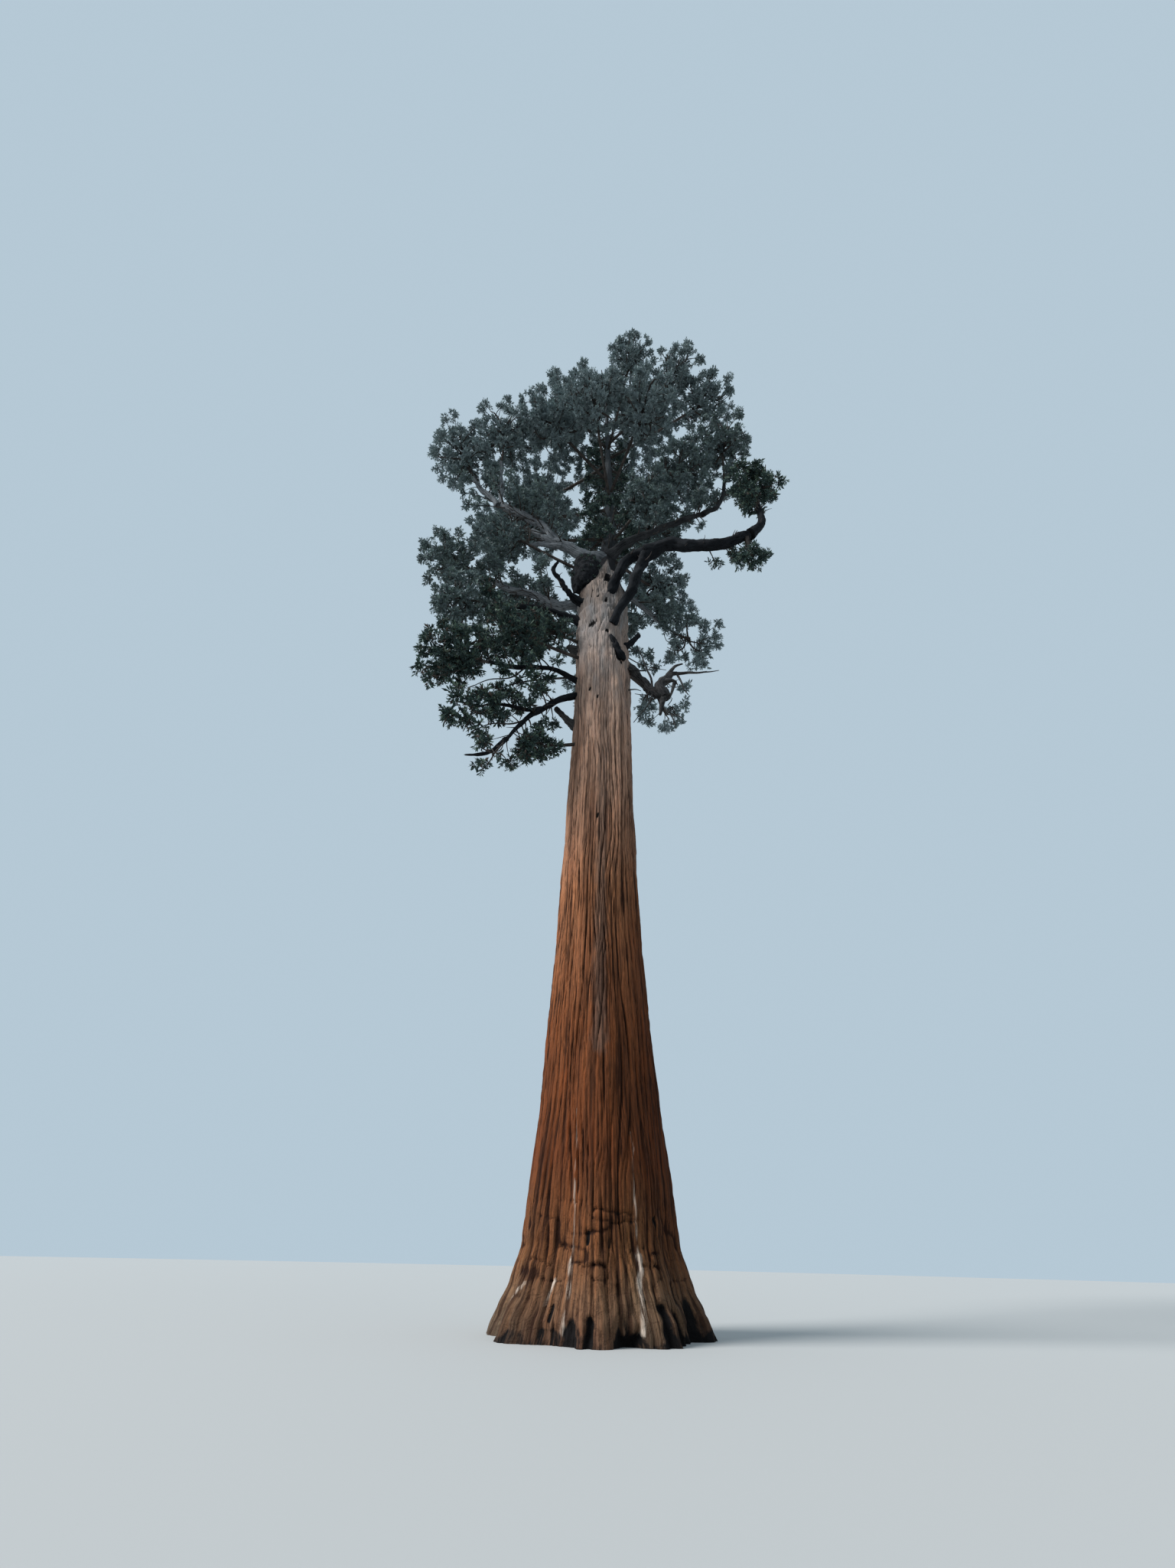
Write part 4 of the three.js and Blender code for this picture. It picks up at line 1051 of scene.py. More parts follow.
def smooth_curve(points):
    """Many places along a centripetal Catmull-Rom curve through the points, evenly spaced."""
    points = [np.array(point, float) for point in points]
    points = [2 * points[0] - points[1], *points, 2 * points[-1] - points[-2]]
    places = []
    for p0, p1, p2, p3 in zip(points, points[1:], points[2:], points[3:]):
        t1 = np.linalg.norm(p1 - p0) ** 0.5
        t2 = t1 + np.linalg.norm(p2 - p1) ** 0.5
        t3 = t2 + np.linalg.norm(p3 - p2) ** 0.5
        t = np.linspace(t1, t2, CURVE_STEPS, endpoint=False)[:, None]
        a1 = (t1 - t) / t1 * p0 + t / t1 * p1
        a2 = (t2 - t) / (t2 - t1) * p1 + (t - t1) / (t2 - t1) * p2
        a3 = (t3 - t) / (t3 - t2) * p2 + (t - t2) / (t3 - t2) * p3
        b1 = (t2 - t) / t2 * a1 + t / t2 * a2
        b2 = (t3 - t) / (t3 - t1) * a2 + (t - t1) / (t3 - t1) * a3
        places.append((t2 - t) / (t2 - t1) * b1 + (t - t1) / (t2 - t1) * b2)
    return np.concatenate([*places, points[-2][None]])


def evenly(places, count):
    """count places at even steps along a chain of places, and the chain's length."""
    steps = np.linalg.norm(np.diff(places, axis=0), axis=1)
    run = np.concatenate([[0], np.cumsum(steps)])
    wanted = np.linspace(0, run[-1], count)
    return np.stack([np.interp(wanted, run, places[:, axis]) for axis in range(3)], 1), run[-1]


def carried_frames(places):
    """At each place the way ahead and two ways across, carried along without twist."""
    ahead = np.gradient(places, axis=0)
    ahead /= np.linalg.norm(ahead, axis=1)[:, None]
    across = np.cross(ahead[0], (0, 0, 1) if abs(ahead[0][2]) < STEEP else (1, 0, 0))
    first = []
    for way in ahead:
        across = across - way * (across @ way)
        across = across / np.linalg.norm(across)
        first.append(across)
    first = np.array(first)
    return ahead, first, np.cross(ahead, first)


print("curve of the arm:", len(smooth_curve(LIVING_LIMBS["arm"][0])), "places")

# %% Limb shapes
LIMB_SIDES = 30
LIMB_RING_STEP = 0.085
LIMB_FURROWS = (15, 1.1, 4)
COLLAR_SWELL = 0.30
COLLAR_REACH = 0.75
# How strongly knots, roughness and furrows shape a limb, as shares of its radius
LIMB_RELIEF = {
    "living": (0.36, 0.16, 0.14),
    "dead": (0.55, 0.34, 0.20),
    "charred": (0.55, 0.75, 0.20),
}
BEND_SHARE = 0.9
BEND_RADIUS = 0.3
TIP_ROUNDING = 0.9


def limb_shape(points, radii, rings, kind, seed):
    middles, length = evenly(smooth_curve(points), rings + 1)
    ahead, first, second = carried_frames(middles)
    stations = np.linspace(0, 1, len(radii))
    knot_share, rough_share, furrow_share = LIMB_RELIEF[kind]

    def shape(share_round, share_along):
        ring = np.rint(share_along * rings).astype(int)
        along = share_along * length
        radius = np.interp(share_along, stations, radii)
        furrow = furrows(share_round, along, *LIMB_FURROWS, seed)
        knots = soft_noise(share_round, along / 0.55, 5, seed + 7)
        rough = soft_noise(share_round, along / 0.16, 16, seed + 8)
        bend = soft_noise(np.zeros_like(along), along / 0.9, 3, seed + 9) - 0.5
        bulge = knot_share * (knots - 0.45)
        bulge += rough_share * (rough - 0.5)
        collar = 1 + COLLAR_SWELL * np.exp(-((along / COLLAR_REACH) ** 2))
        end = np.clip((1 - share_along) * length / (TIP_ROUNDING * radius), 0, 1)
        tip = np.sqrt(1 - (1 - end) ** 2)
        out = radius * tip * (collar + bulge - furrow_share * furrow)
        turn = share_round * 2 * math.pi
        places = middles[ring] + (first[ring].T * np.cos(turn) * out + second[ring].T * np.sin(turn) * out).T
        places += second[ring] * (bend * np.minimum(radius, BEND_RADIUS) * BEND_SHARE)[:, None]
        marks = {"furrow": furrow * (0.7 + 0.6 * rough)}
        marks["grain"] = grain_place(turn, along, radii[0])
        return places, marks

    return shape


# %% All limbs
def limb_kind(name):
    """Whether a limb is living, dead or charred, and the name of its finish."""
    if name in CHARRED_LIMBS:
        return "charred", "limb_bark"
    kind, finish = ("living", "limb_bark") if name in LIVING_LIMBS else ("dead", "bare_dead_wood")
    if name in GREY_LIMBS:
        finish = "grey_limb_bark"
    if name in DUSKY_LIMBS:
        finish = "dusky_limb_bark"
    return kind, finish


def make_limbs():
    total = 0
    limbs = {**ALL_LIMBS, **SMALL_SNAGS}
    for number, (name, (points, radii)) in enumerate(limbs.items()):
        kind, finish = limb_kind(name)
        length = evenly(smooth_curve(points), 2)[1]
        rings = int(length / LIMB_RING_STEP)
        shape = limb_shape(points, radii, rings, kind, 100 + 10 * number)
        nodes = [name] if name in ALL_LIMBS else []
        piece = rolled_tube(f"{name}_bark", LIMB_SIDES, rings, shape, limb_materials[finish], nodes)
        total += len(piece.data.polygons)
    print("limbs:", len(limbs), "with", total, "faces")


make_limbs()

# %% [markdown]
# ## The burl on the shoulder
#
# A dark burl almost 4 m tall wraps round the left shoulder of the bleached top; its near-black colours are
# painted shade. It is a ball of small faces, stretched, leant a little to the right, and pushed in and out
# from its middle by two sizes of noise, so that it looks like swollen, wrinkled bark. Short shoots will
# sprout from it later.

# %% Burl
BURL_MIDDLE = Vector((-1.0, -0.66, 36.6))
BURL_HALF_SIZE = (0.98, 0.98, 1.85)
BURL_LEAN = math.radians(11)
# How fine each noise is and how far it swells the ball
BURL_SWELLS = ((1.1, 0.26), (3.4, 0.13))
BURL_SUBDIVISIONS = 6
# Near-black colours of the burl, which are painted shade
SHADED_BURL_WRINKLE = (0.003, 0.003, 0.004, 1)
SHADED_BURL_BARK = (0.019, 0.021, 0.024, 1)
WRINKLE_CELLS = (11, 11, 11)


def make_burl_material():
    graph = Graph("shaded_burl_bark")
    wrinkles = graph.noise(graph.object_place(), WRINKLE_CELLS, detail=6, roughness=0.7)
    colour = graph.mix(graph.between(wrinkles, 0.38, 0.64), SHADED_BURL_WRINKLE, SHADED_BURL_BARK)
    graph.feed(graph.shader, "Base Color", colour)
    graph.feed(graph.shader, "Normal", graph.bump(wrinkles, 0.9, 0.05))
    graph.shader.inputs["Roughness"].default_value = 0.9
    graph.shader.inputs["Specular IOR Level"].default_value = 0.1
    return graph.material


def make_burl():
    bm = bmesh.new()
    bmesh.ops.create_icosphere(bm, subdivisions=BURL_SUBDIVISIONS, radius=1)
    for vertex in bm.verts:
        swell = sum(size * noise.noise(vertex.co * fine) for fine, size in BURL_SWELLS)
        vertex.co *= 1 + swell
    lean = Matrix.Rotation(BURL_LEAN, 4, "Y")
    stretch = Matrix.Diagonal((*BURL_HALF_SIZE, 1))
    place = Matrix.Scale(SCALE, 4) @ Matrix.Translation(BURL_MIDDLE) @ lean @ stretch
    bmesh.ops.transform(bm, matrix=place, verts=bm.verts)
    mesh = bpy.data.meshes.new("shoulder_burl")
    bm.to_mesh(mesh)
    bm.free()
    mesh.shade_smooth()
    burl = finished("shoulder_burl", mesh, make_burl_material(), [])
    print("burl:", len(burl.data.polygons), "faces")


make_burl()

# %% [markdown]
# ## The masses of foliage
#
# The crown is rounded masses of leaves, and each keeps to its own space, a ball that is cut half way to its
# neighbours. A mass is carried by the tip of a limb or straight by the trunk. The table groups the masses in
# zones, because all twigs of a zone, and all its sprays of one colour, will be joined into one piece.

# %% Table of masses
# Name: the limb whose tip carries it or the height on the trunk, its centre, its radius, whether it is dense
ZONES = {
    "low_left": {
        "low_left_outer": ("drooping_side", (-6.1, -3.0, 21.5), 1.7, False),
        "low_left_hanging": ("drooping_bough", (-4.7, -3.0, 18.6), 1.3, False),
        "low_left_inner": (22.3, (-3.1, -1.1, 20.9), 1.6, False),
    },
    "dark_left": {
        "dark_left_outer": ("level_dark_bough", (-7.2, -3.2, 25.4), 2.2, True),
        "dark_left_middle": (28.2, (-4.7, -2.7, 27.8), 2.2, True),
        "dark_left_inner": (29.6, (-3.1, -1.0, 30.2), 1.8, True),
    },
    "left": {
        "left_low": ("left_low_bough", (-8.3, -2.0, 31.4), 2.3, True),
        "left_outer": ("left_level_bough", (-10.0, -1.2, 37.7), 2.5, True),
        "left_middle": (37.0, (-6.3, -1.9, 39.6), 2.3, True),
        "left_back": (36.4, (-5.4, 3.4, 37.6), 3.1, True),
    },
    "upper_left": {
        "upper_left_low": (42.5, (-8.4, 1.5, 45.4), 2.8, True),
        "upper_left_outer": ("upper_left_rise", (-11.1, -2.2, 51.2), 3.2, True),
        "upper_left_middle": ("upper_left_fork", (-7.9, -2.6, 53.4), 3.3, True),
        "upper_left_top": (51.5, (-4.2, -3.3, 54.8), 3.2, True),
        "upper_left_back": (47.0, (-5.6, 2.6, 50.5), 3.9, True),
    },
    "front": {
        "front_left": (48.6, (-0.7, -5.6, 52.3), 2.9, True),
        "front_right": (49.2, (3.2, -4.8, 53.0), 3.2, True),
    },
    "crest": {
        "crest_front": (57.5, (2.4, -5.7, 62.0), 2.3, True),
        "crest_right": (59.0, (6.6, -3.9, 63.2), 3.0, True),
        "shoulder_right": (56.0, (9.2, -2.6, 61.2), 2.9, True),
        "crest_left": (58.0, (-3.2, -2.2, 61.4), 3.5, True),
    },
    "top": {
        "top": (70.5, (0.4, 0.1, 71.7), 3.3, True),
        "top_left": (63.5, (-4.4, 1.8, 66.2), 4.0, True),
        "top_right": (64.2, (4.6, 1.2, 67.2), 3.9, True),
        "top_back": (62.5, (0.6, 5.4, 65.2), 4.0, True),
    },
    "high_back": {
        "high_back_left": (55.0, (-6.2, 5.0, 58.0), 4.3, True),
        "high_back_right": (54.0, (6.2, 4.6, 59.8), 4.2, True),
        "high_back_middle": (50.5, (0.2, 7.8, 54.6), 4.3, True),
    },
    "right": {
        "right_inner": (41.5, (3.3, -2.3, 43.9), 2.3, True),
        "right_middle": (44.5, (6.2, -2.7, 47.6), 2.6, True),
        "right_outer": ("upper_right_rise", (9.5, -2.4, 52.2), 2.9, True),
        "right_back": (47.2, (4.4, 3.8, 50.4), 3.1, True),
    },
    "arm_foliage": {
        "arm_end": ("arm_rise", (10.3, -3.4, 42.9), 2.3, True),
        "arm_hanging": ("arm", (8.9, -3.2, 34.3), 1.3, False),
    },
    "back": {
        "back_right_low": (29.5, (3.9, 3.6, 29.0), 2.4, False),
        "back_right_middle": ("back_right_bough", (6.4, 4.6, 36.6), 2.8, False),
        "back_right_high": (40.2, (4.6, 5.0, 43.4), 3.1, True),
        "back_low": (30.5, (-0.3, 4.9, 31.6), 2.5, True),
        "back_middle": (35.5, (-0.4, 6.6, 40.4), 3.6, True),
    },
}
MASSES = {name: mass for zone in ZONES.values() for name, mass in zone.items()}
print("masses:", len(MASSES), "in", len(ZONES), "zones")

# %% [markdown]
# ## The rule that grows a mass
#
# The rule is seeded, so the tree is the same each time. A stem runs from the limb's tip, or from the trunk,
# to the middle. Branches leave it in directions that are spread evenly over a ball by the golden angle, from
# a start that a small random generator gives. It is the generator that the solids use, so these branches run
# where theirs do.

# %% The rule of the solids
DENSE_BRANCHES = 11
OPEN_BRANCHES = 5
GOLDEN_ANGLE = math.pi * (3 - math.sqrt(5))
STEM_RADIUS = 0.13
STEM_SHARE_OF_CARRIER = 0.62
PLANE_SLACK = 0.25
WORD = 0xFFFFFFFF
SEED_STEP = 0x6D2B79F5


def random_from(seed):
    """The small random generator that the solids were grown with."""
    state = seed & WORD
    while True:
        state = (state + SEED_STEP) & WORD
        mixed = state
        mixed = ((mixed ^ (mixed >> 15)) * (mixed | 1)) & WORD
        mixed ^= (mixed + (((mixed ^ (mixed >> 7)) * (mixed | 61)) & WORD)) & WORD
        yield ((mixed ^ (mixed >> 14)) & WORD) / 2**32


def spread_directions(count, phase):
    """Directions spread evenly over a ball, turned by the phase."""
    height = 1 - 2 * (np.arange(count) + 0.5) / count
    outward = np.sqrt(1 - height**2)
    turn = phase + np.arange(count) * GOLDEN_ANGLE
    return np.stack([outward * np.cos(turn), outward * np.sin(turn), height], 1)


def stem_of(mass):
    """Where the stem of a mass starts, where it ends and how thick it is."""
    carrier, centre, _, _ = mass
    centre = np.array(centre)
    if isinstance(carrier, str):
        points, radii = ALL_LIMBS[carrier]
        last, before = np.array(points[-1], float), np.array(points[-2], float)
        back = (before - last) / np.linalg.norm(before - last)
        return last + back * radii[-1], centre, radii[-1] * STEM_SHARE_OF_CARRIER
    radius, x, y = trunk_row(carrier)
    return np.array([x, y, carrier]), centre, min(STEM_RADIUS, radius * STEM_SHARE_OF_CARRIER)


def inside_space(places, name):
    """Which places lie on this mass's own side of the planes to its neighbours."""
    _, centre, radius, _ = MASSES[name]
    centre = np.array(centre)
    keep = np.ones(len(places), bool)
    for other, (_, other_centre, other_radius, _) in MASSES.items():
        between = np.array(other_centre) - centre
        distance = np.linalg.norm(between)
        if other == name or distance > radius + other_radius:
            continue
        offset = (distance**2 + radius**2 - other_radius**2) / (2 * distance)
        keep &= (places - centre) @ (between / distance) < offset + PLANE_SLACK
    return keep


branches = sum(DENSE_BRANCHES if dense else OPEN_BRANCHES for _, _, _, dense in MASSES.values())
print("branches:", branches, "and stems:", len(MASSES))

# %% [markdown]
# ## Keeping clear of the wood
#
# A tuft that would grow into the trunk or over a limb is left out, as in the solids. The trunk and the limbs
# are chains of balls, and a tuft needs some air to the nearest one.

# %% Chains of balls for trunk and limbs
CLEAR_OF_LIMB = 0.42
CLEAR_OF_TRUNK = 0.65
LEAST_CLEAR_RADIUS = 0.25
BALLS_ON_LIMB = 24
TRUNK_BALL_STEP = 0.4
TRUNK_BALLS_TO = 60


def wood_balls():
    balls = []
    shares = np.linspace(0, 1, BALLS_ON_LIMB)
    for points, radii in (*ALL_LIMBS.values(), *SMALL_SNAGS.values()):
        middles, _ = evenly(smooth_curve(points), BALLS_ON_LIMB)
        radius = np.interp(shares, np.linspace(0, 1, len(radii)), radii)
        balls.append(np.column_stack([middles, radius + CLEAR_OF_LIMB]))
    heights = np.arange(0, TRUNK_BALLS_TO, TRUNK_BALL_STEP)
    radius, x, y = trunk_row(heights)
    reach = radius + CLEAR_OF_TRUNK * np.clip(radius, LEAST_CLEAR_RADIUS, 1)
    balls.append(np.column_stack([x, y, heights, reach]))
    return np.concatenate(balls)


def clear_of_wood(places, margin=0):
    gaps = np.linalg.norm(places[:, None] - WOOD[None, :, :3], axis=2) - WOOD[None, :, 3]
    return gaps.min(axis=1) > margin


WOOD = wood_balls()
print("wood:", len(WOOD), "balls")

# %% [markdown]
# ## Open views
#
# In the photograph long stretches of the boughs and the dead limbs stand bare. A tuft is left out where it
# would hang in front of such a stretch, so the test is a line from the eye to a place on the limb. Round the
# thin drooping bough and the dead limbs the light shows through, and there the line is kept free beyond
# them too.

# %% Lines of sight kept open
# Limb: the stretch that is seen, as shares of its length, how wide the view is, how far the line goes on
BARE_STRETCHES = {
    "upper_left_bough": (0.08, 1.0, 0.68, 0.3),
    "upper_left_rise": (0.0, 0.6, 0.50, 0.3),
    "upper_left_fork": (0.0, 0.6, 0.45, 0.3),
    "left_level_bough": (0.05, 0.75, 0.60, 0.3),
    "level_dark_bough": (0.0, 0.55, 0.30, 0.3),
    "drooping_bough": (0.0, 1.0, 0.42, 40),
    "drooping_side": (0.0, 0.8, 0.25, 0.3),
    "drooping_end": (0.0, 1.0, 0.35, 40),
    "upper_right_bough": (0.22, 1.0, 0.42, 0.3),
    "upper_right_rise": (0.0, 0.5, 0.35, 0.3),
    "arm": (0.0, 1.0, 0.55, 0.3),
    "arm_upper_root": (0.0, 1.0, 0.45, 0.3),
    "arm_lower_root": (0.0, 1.0, 0.45, 0.3),
    "arm_rise": (0.0, 0.4, 0.40, 0.3),
    "back_right_bough": (0.25, 0.8, 0.35, 0.3),
    "dead_gnarled_limb": (0.0, 1.0, 0.55, 40),
    "dead_limb_hook": (0.0, 1.0, 0.75, 40),
    "dead_bent_snag": (0.2, 1.0, 0.45, 40),
    "short_left_stub": (0.0, 1.0, 0.40, 0.3),
    "short_right_stub": (0.0, 1.0, 0.35, 0.3),
    "left_knob": (0.0, 1.0, 0.45, 40),
    "broken_end": (0.2, 1.0, 0.60, 0.3),
    "broken_fork": (0.2, 1.0, 0.55, 0.3),
}
SIGHT_LINES = 24
SPOTS_ON_LIMB = 100
EYE = np.array([0, -EYE_DISTANCE, EYE_HEIGHT])


def sight_lines():
    """For each line its way from the eye, how far it is kept open and how wide."""
    ways, ends, widths = [], [], []
    last_spot = SPOTS_ON_LIMB - 1
    for name, (first, last, width, beyond) in BARE_STRETCHES.items():
        points, _ = {**ALL_LIMBS, **SMALL_SNAGS}[name]
        middles, _ = evenly(smooth_curve(points), SPOTS_ON_LIMB)
        for spot in np.linspace(first * last_spot, last * last_spot, SIGHT_LINES).astype(int):
            way = middles[spot] - EYE
            distance = np.linalg.norm(way)
            ways.append(way / distance)
            ends.append(distance + beyond)
            widths.append(width)
    return np.array(ways), np.array(ends), np.array(widths)


def hides_nothing(places, margin=0):
    from_eye = places - EYE
    along = from_eye @ VIEW_WAYS.T
    aside = np.linalg.norm(from_eye[:, None] - along[..., None] * VIEW_WAYS, axis=2)
    return ~((aside < VIEW_WIDTHS + margin) & (along < VIEW_ENDS)).any(axis=1)


VIEW_WAYS, VIEW_ENDS, VIEW_WIDTHS = sight_lines()
print("open lines of sight:", len(VIEW_WAYS))

# %% [markdown]
# ## Branches, twigs and tufts
#
# From every branch finer ones run on to small clumps, most of them near the outside of the space, and each
# clump is a few tufts at the ends of twigs. A clump joins the branch that points its way, so the twigs fork
# outwards. Dense masses get a large tuft half way out on each branch too, which closes the view through
# them. Open masses have fewer clumps, and the light shows through.

# %% Rods
# Sides of a rod, from the thickest kind to the thinnest
BRANCH_SIDES = 5
TWIG_SIDES = 4
SHOOT_SIDES = 3


def no_rods():
    return {BRANCH_SIDES: [], TWIG_SIDES: [], SHOOT_SIDES: []}


def unit(vectors):
    return vectors / np.linalg.norm(vectors, axis=-1, keepdims=True)


def bent_rod(start, end, start_radius, end_radius, sag, rings):
    """A rod as a chain of places and radii, bowed a little sideways by sag."""
    share = np.linspace(0, 1, rings)[:, None]
    places = start + (end - start) * share + sag * (4 * share * (1 - share))
    return places, start_radius + (end_radius - start_radius) * share[:, 0]


# %% Clumps of a mass
CLUMPS_PER_SQUARE_METRE = {True: 6.0, False: 5.2}
FEWEST_CLUMPS = 8
CLUMP_SCATTER = 0.16
CLUMP_REACH = 0.87
CLUMPS_OUTMOST = 1.04
CLUMPS_INMOST = 0.62
CLUMPS_CROWDING = 1.9
OPEN_GAPS = 0.28
DENSE_GAPS = 0.05
TUFTS_PER_CLUMP = 6
TUFT_RADIUS = 0.34
TUFT_OFFSET = 0.45
TWIG_FORKS = (0.35, 0.8)
TWIG_RADII = (0.036, 0.016)
TWIG_SAG = 0.13


def place_clumps(name, number, rng):
    """The clumps of a mass: crowded near its outside, in its own space and clear of the wood."""
    _, centre, radius, dense = MASSES[name]
    count = max(FEWEST_CLUMPS, round(CLUMPS_PER_SQUARE_METRE[dense] * radius**2))
    ways = spread_directions(count, number) + rng.normal(0, CLUMP_SCATTER, (count, 3))
    reach = min(CLUMP_REACH, 1 - (TUFT_OFFSET + TUFT_RADIUS * 0.7) / radius)
    shares = reach * (CLUMPS_OUTMOST - CLUMPS_INMOST * rng.random(count) ** CLUMPS_CROWDING)
    clumps = np.array(centre) + unit(ways) * (radius * shares)[:, None]
    keep = inside_space(clumps, name) & clear_of_wood(clumps)
    keep &= rng.random(count) > (DENSE_GAPS if dense else OPEN_GAPS)
    return clumps[keep]


def rods_of_clumps(clumps, centre, ways, roots, branch_ends, rng, rods):
    for clump in clumps:
        branch = int(np.argmax(ways @ unit(clump - centre)))
        share = rng.uniform(*TWIG_FORKS)
        fork = roots[branch] + (branch_ends[branch] - roots[branch]) * share
        rods[TWIG_SIDES].append(bent_rod(fork, clump, *TWIG_RADII, rng.normal(0, TWIG_SAG, 3), 4))


# %% Tufts
TUFT_LIFT = 0.30
TUFT_OUTWARD = 0.70
TUFT_SCATTER = 0.20
TUFT_OFFSETS = (0.6, 1.15)
TUFT_SIZES = (0.7, 1.2)
SHOOT_RADII = (0.016, 0.009)
INNER_TUFT_REACH = 0.42
INNER_TUFT_SIZE = 0.26


def tufts_of_clumps(clumps, centre, rng, rods, number=TUFTS_PER_CLUMP):
    """The tufts of each clump, at the ends of short shoots that point outwards and a little up."""
    tufts = []
    for clump in clumps:
        out = unit(clump - centre) + np.array([0, 0, TUFT_LIFT])
        for way in spread_directions(number, rng.uniform(0, 6.3)):
            heading = unit(way + TUFT_OUTWARD * out + rng.normal(0, TUFT_SCATTER, 3))
            end = clump + heading * TUFT_OFFSET * rng.uniform(*TUFT_OFFSETS)
            size = TUFT_RADIUS * rng.uniform(*TUFT_SIZES)
            if hides_nothing(end[None])[0]:
                rods[SHOOT_SIDES].append(bent_rod(clump, end, *SHOOT_RADII, np.zeros(3), 2))
                tufts.append((end, heading, size))
    return tufts


def inner_tufts(name, ways):
    """A large tuft half way out on each branch, which closes the view through a dense mass."""
    _, centre, radius, _ = MASSES[name]
    size = INNER_TUFT_SIZE * radius
    places = np.array(centre) + ways * radius * INNER_TUFT_REACH
    keep = inside_space(places, name) & clear_of_wood(places, size / 2) & hides_nothing(places, size)
    return [(place, way, size) for place, way in zip(places[keep], ways[keep])]


# %% Growing one mass
STEM_DROOP = 0.03
STEM_END_SHARE = 0.035
BRANCH_FORKS = (0, 0.22)
BRANCH_END_SHARE = 0.66
BRANCH_RADIUS_SHARES = (0.030, 0.012)
BRANCH_SAG = 0.11


def grow_mass(name, number):
    """The rods and the tufts of one mass, in metres of the real tree."""
    mass = MASSES[name]
    _, _, radius, dense = mass
    draw = random_from(1000 + 77 * number)
    rng = np.random.default_rng(500 + number)
    start, centre, stem_radius = stem_of(mass)
    rods = no_rods()
    droop = np.array([0, 0, -1]) * np.linalg.norm(centre - start) * STEM_DROOP
    rods[BRANCH_SIDES].append(bent_rod(start, centre, stem_radius, STEM_END_SHARE * radius, droop, 7))
    count = DENSE_BRANCHES if dense else OPEN_BRANCHES
    ways = spread_directions(count, next(draw) * 2 * math.pi)
    branch_ends = centre + ways * radius * BRANCH_END_SHARE
    roots = centre + (start - centre) * rng.uniform(*BRANCH_FORKS, (count, 1))
    root_radius, end_radius = [share * radius for share in BRANCH_RADIUS_SHARES]
    for root, end in zip(roots, branch_ends):
        sag = rng.normal(0, BRANCH_SAG, 3) * radius
        rods[BRANCH_SIDES].append(bent_rod(root, end, root_radius, end_radius, sag, 6))
    clumps = place_clumps(name, number, rng)
    rods_of_clumps(clumps, centre, ways, roots, branch_ends, rng, rods)
    tufts = tufts_of_clumps(clumps, centre, rng, rods)
    if dense:
        tufts += inner_tufts(name, ways)
    return rods, tufts


# %% [markdown]
# ## Leafy twigs along the boughs
#
# Between the great masses the outer two thirds of the living boughs carry short side twigs. Some end in
# small clumps and some are bare, as on the real tree, where old boughs are rough with snapped shoots. The
# leader carries short dark shoots from the bleached point up into the crown, and the burl carries more.

# %% Tables of leafy twigs
# Name of the limb: how many leafy side twigs and how many bare ones it has, and how far the leafy ones reach
SIDE_TWIGS = {
    "low_boughs": {
        "level_dark_bough": (14, 8, 1.2),
        "drooping_bough": (14, 10, 1.1),
        "drooping_side": (9, 6, 0.9),
        "left_low_bough": (14, 8, 1.2),
        "arm": (5, 8, 0.8),
        "arm_rise": (6, 3, 1.1),
        "arm_upper_root": (0, 3, 0),
        "arm_lower_root": (0, 3, 0),
        "dead_gnarled_limb": (0, 5, 0),
        "dead_bent_snag": (0, 4, 0),
    },
    "high_boughs": {
        "left_level_bough": (30, 9, 2.3),
        "upper_left_bough": (34, 12, 2.4),
        "upper_left_rise": (9, 4, 1.4),
        "upper_left_fork": (7, 4, 1.2),
        "upper_right_bough": (16, 9, 1.3),
        "upper_right_rise": (8, 4, 1.2),
        "back_right_bough": (14, 6, 2.0),
    },
}
# Longer leafy twigs, each by its own points, with a clump at every point but the first
LEAFY_TWIGS = {
    "low_boughs": [
        [(-5.7, -2.8, 25.1), (-7.3, -3.0, 24.7), (-8.2, -3.1, 24.4), (-8.9, -3.2, 24.3)],
        [(-6.2, -2.9, 24.8), (-7.4, -3.1, 23.9), (-8.3, -3.2, 23.4)],
        [(-7.0, -3.0, 25.0), (-8.2, -3.2, 25.3), (-8.9, -3.2, 25.3)],
    ],
    "high_boughs": [
        [(-6.9, -1.3, 44.3), (-8.2, -1.5, 44.3), (-9.0, -1.5, 44.4), (-9.8, -1.5, 44.6)],
        [(-6.3, -1.2, 43.8), (-7.2, -1.4, 43.0), (-8.1, -1.5, 42.4)],
        [(-8.0, -1.3, 45.2), (-8.9, -1.5, 45.7), (-9.6, -1.5, 46.3)],
        [(1.0, 0.8, 31.5), (2.2, 2.4, 32.6), (3.1, 3.1, 33.0)],
        [(1.0, 0.8, 30.5), (2.6, 2.6, 31.4), (3.5, 3.2, 31.8), (4.3, 3.6, 32.1)],
    ],
}

# %% Side twigs of the boughs
SIDE_TWIG_SPAN = (0.30, 0.97)
SIDE_TWIG_AHEAD = 0.55
SIDE_TWIG_SCATTER = 0.15
SIDE_TWIG_LENGTHS = (0.5, 1.15)
SIDE_TWIG_RADIUS = 0.045
SIDE_TWIG_END = 0.012
SIDE_TWIG_SAG = 0.09
BARE_TWIG_REACH = 0.7
LONG_TWIG = 1.2
SIDE_TUFTS = 6
LEAFY_TWIG_RADII = (0.05, 0.02)
LEAFY_TWIG_RINGS = 10
SPOTS_ON_BOUGH = 60


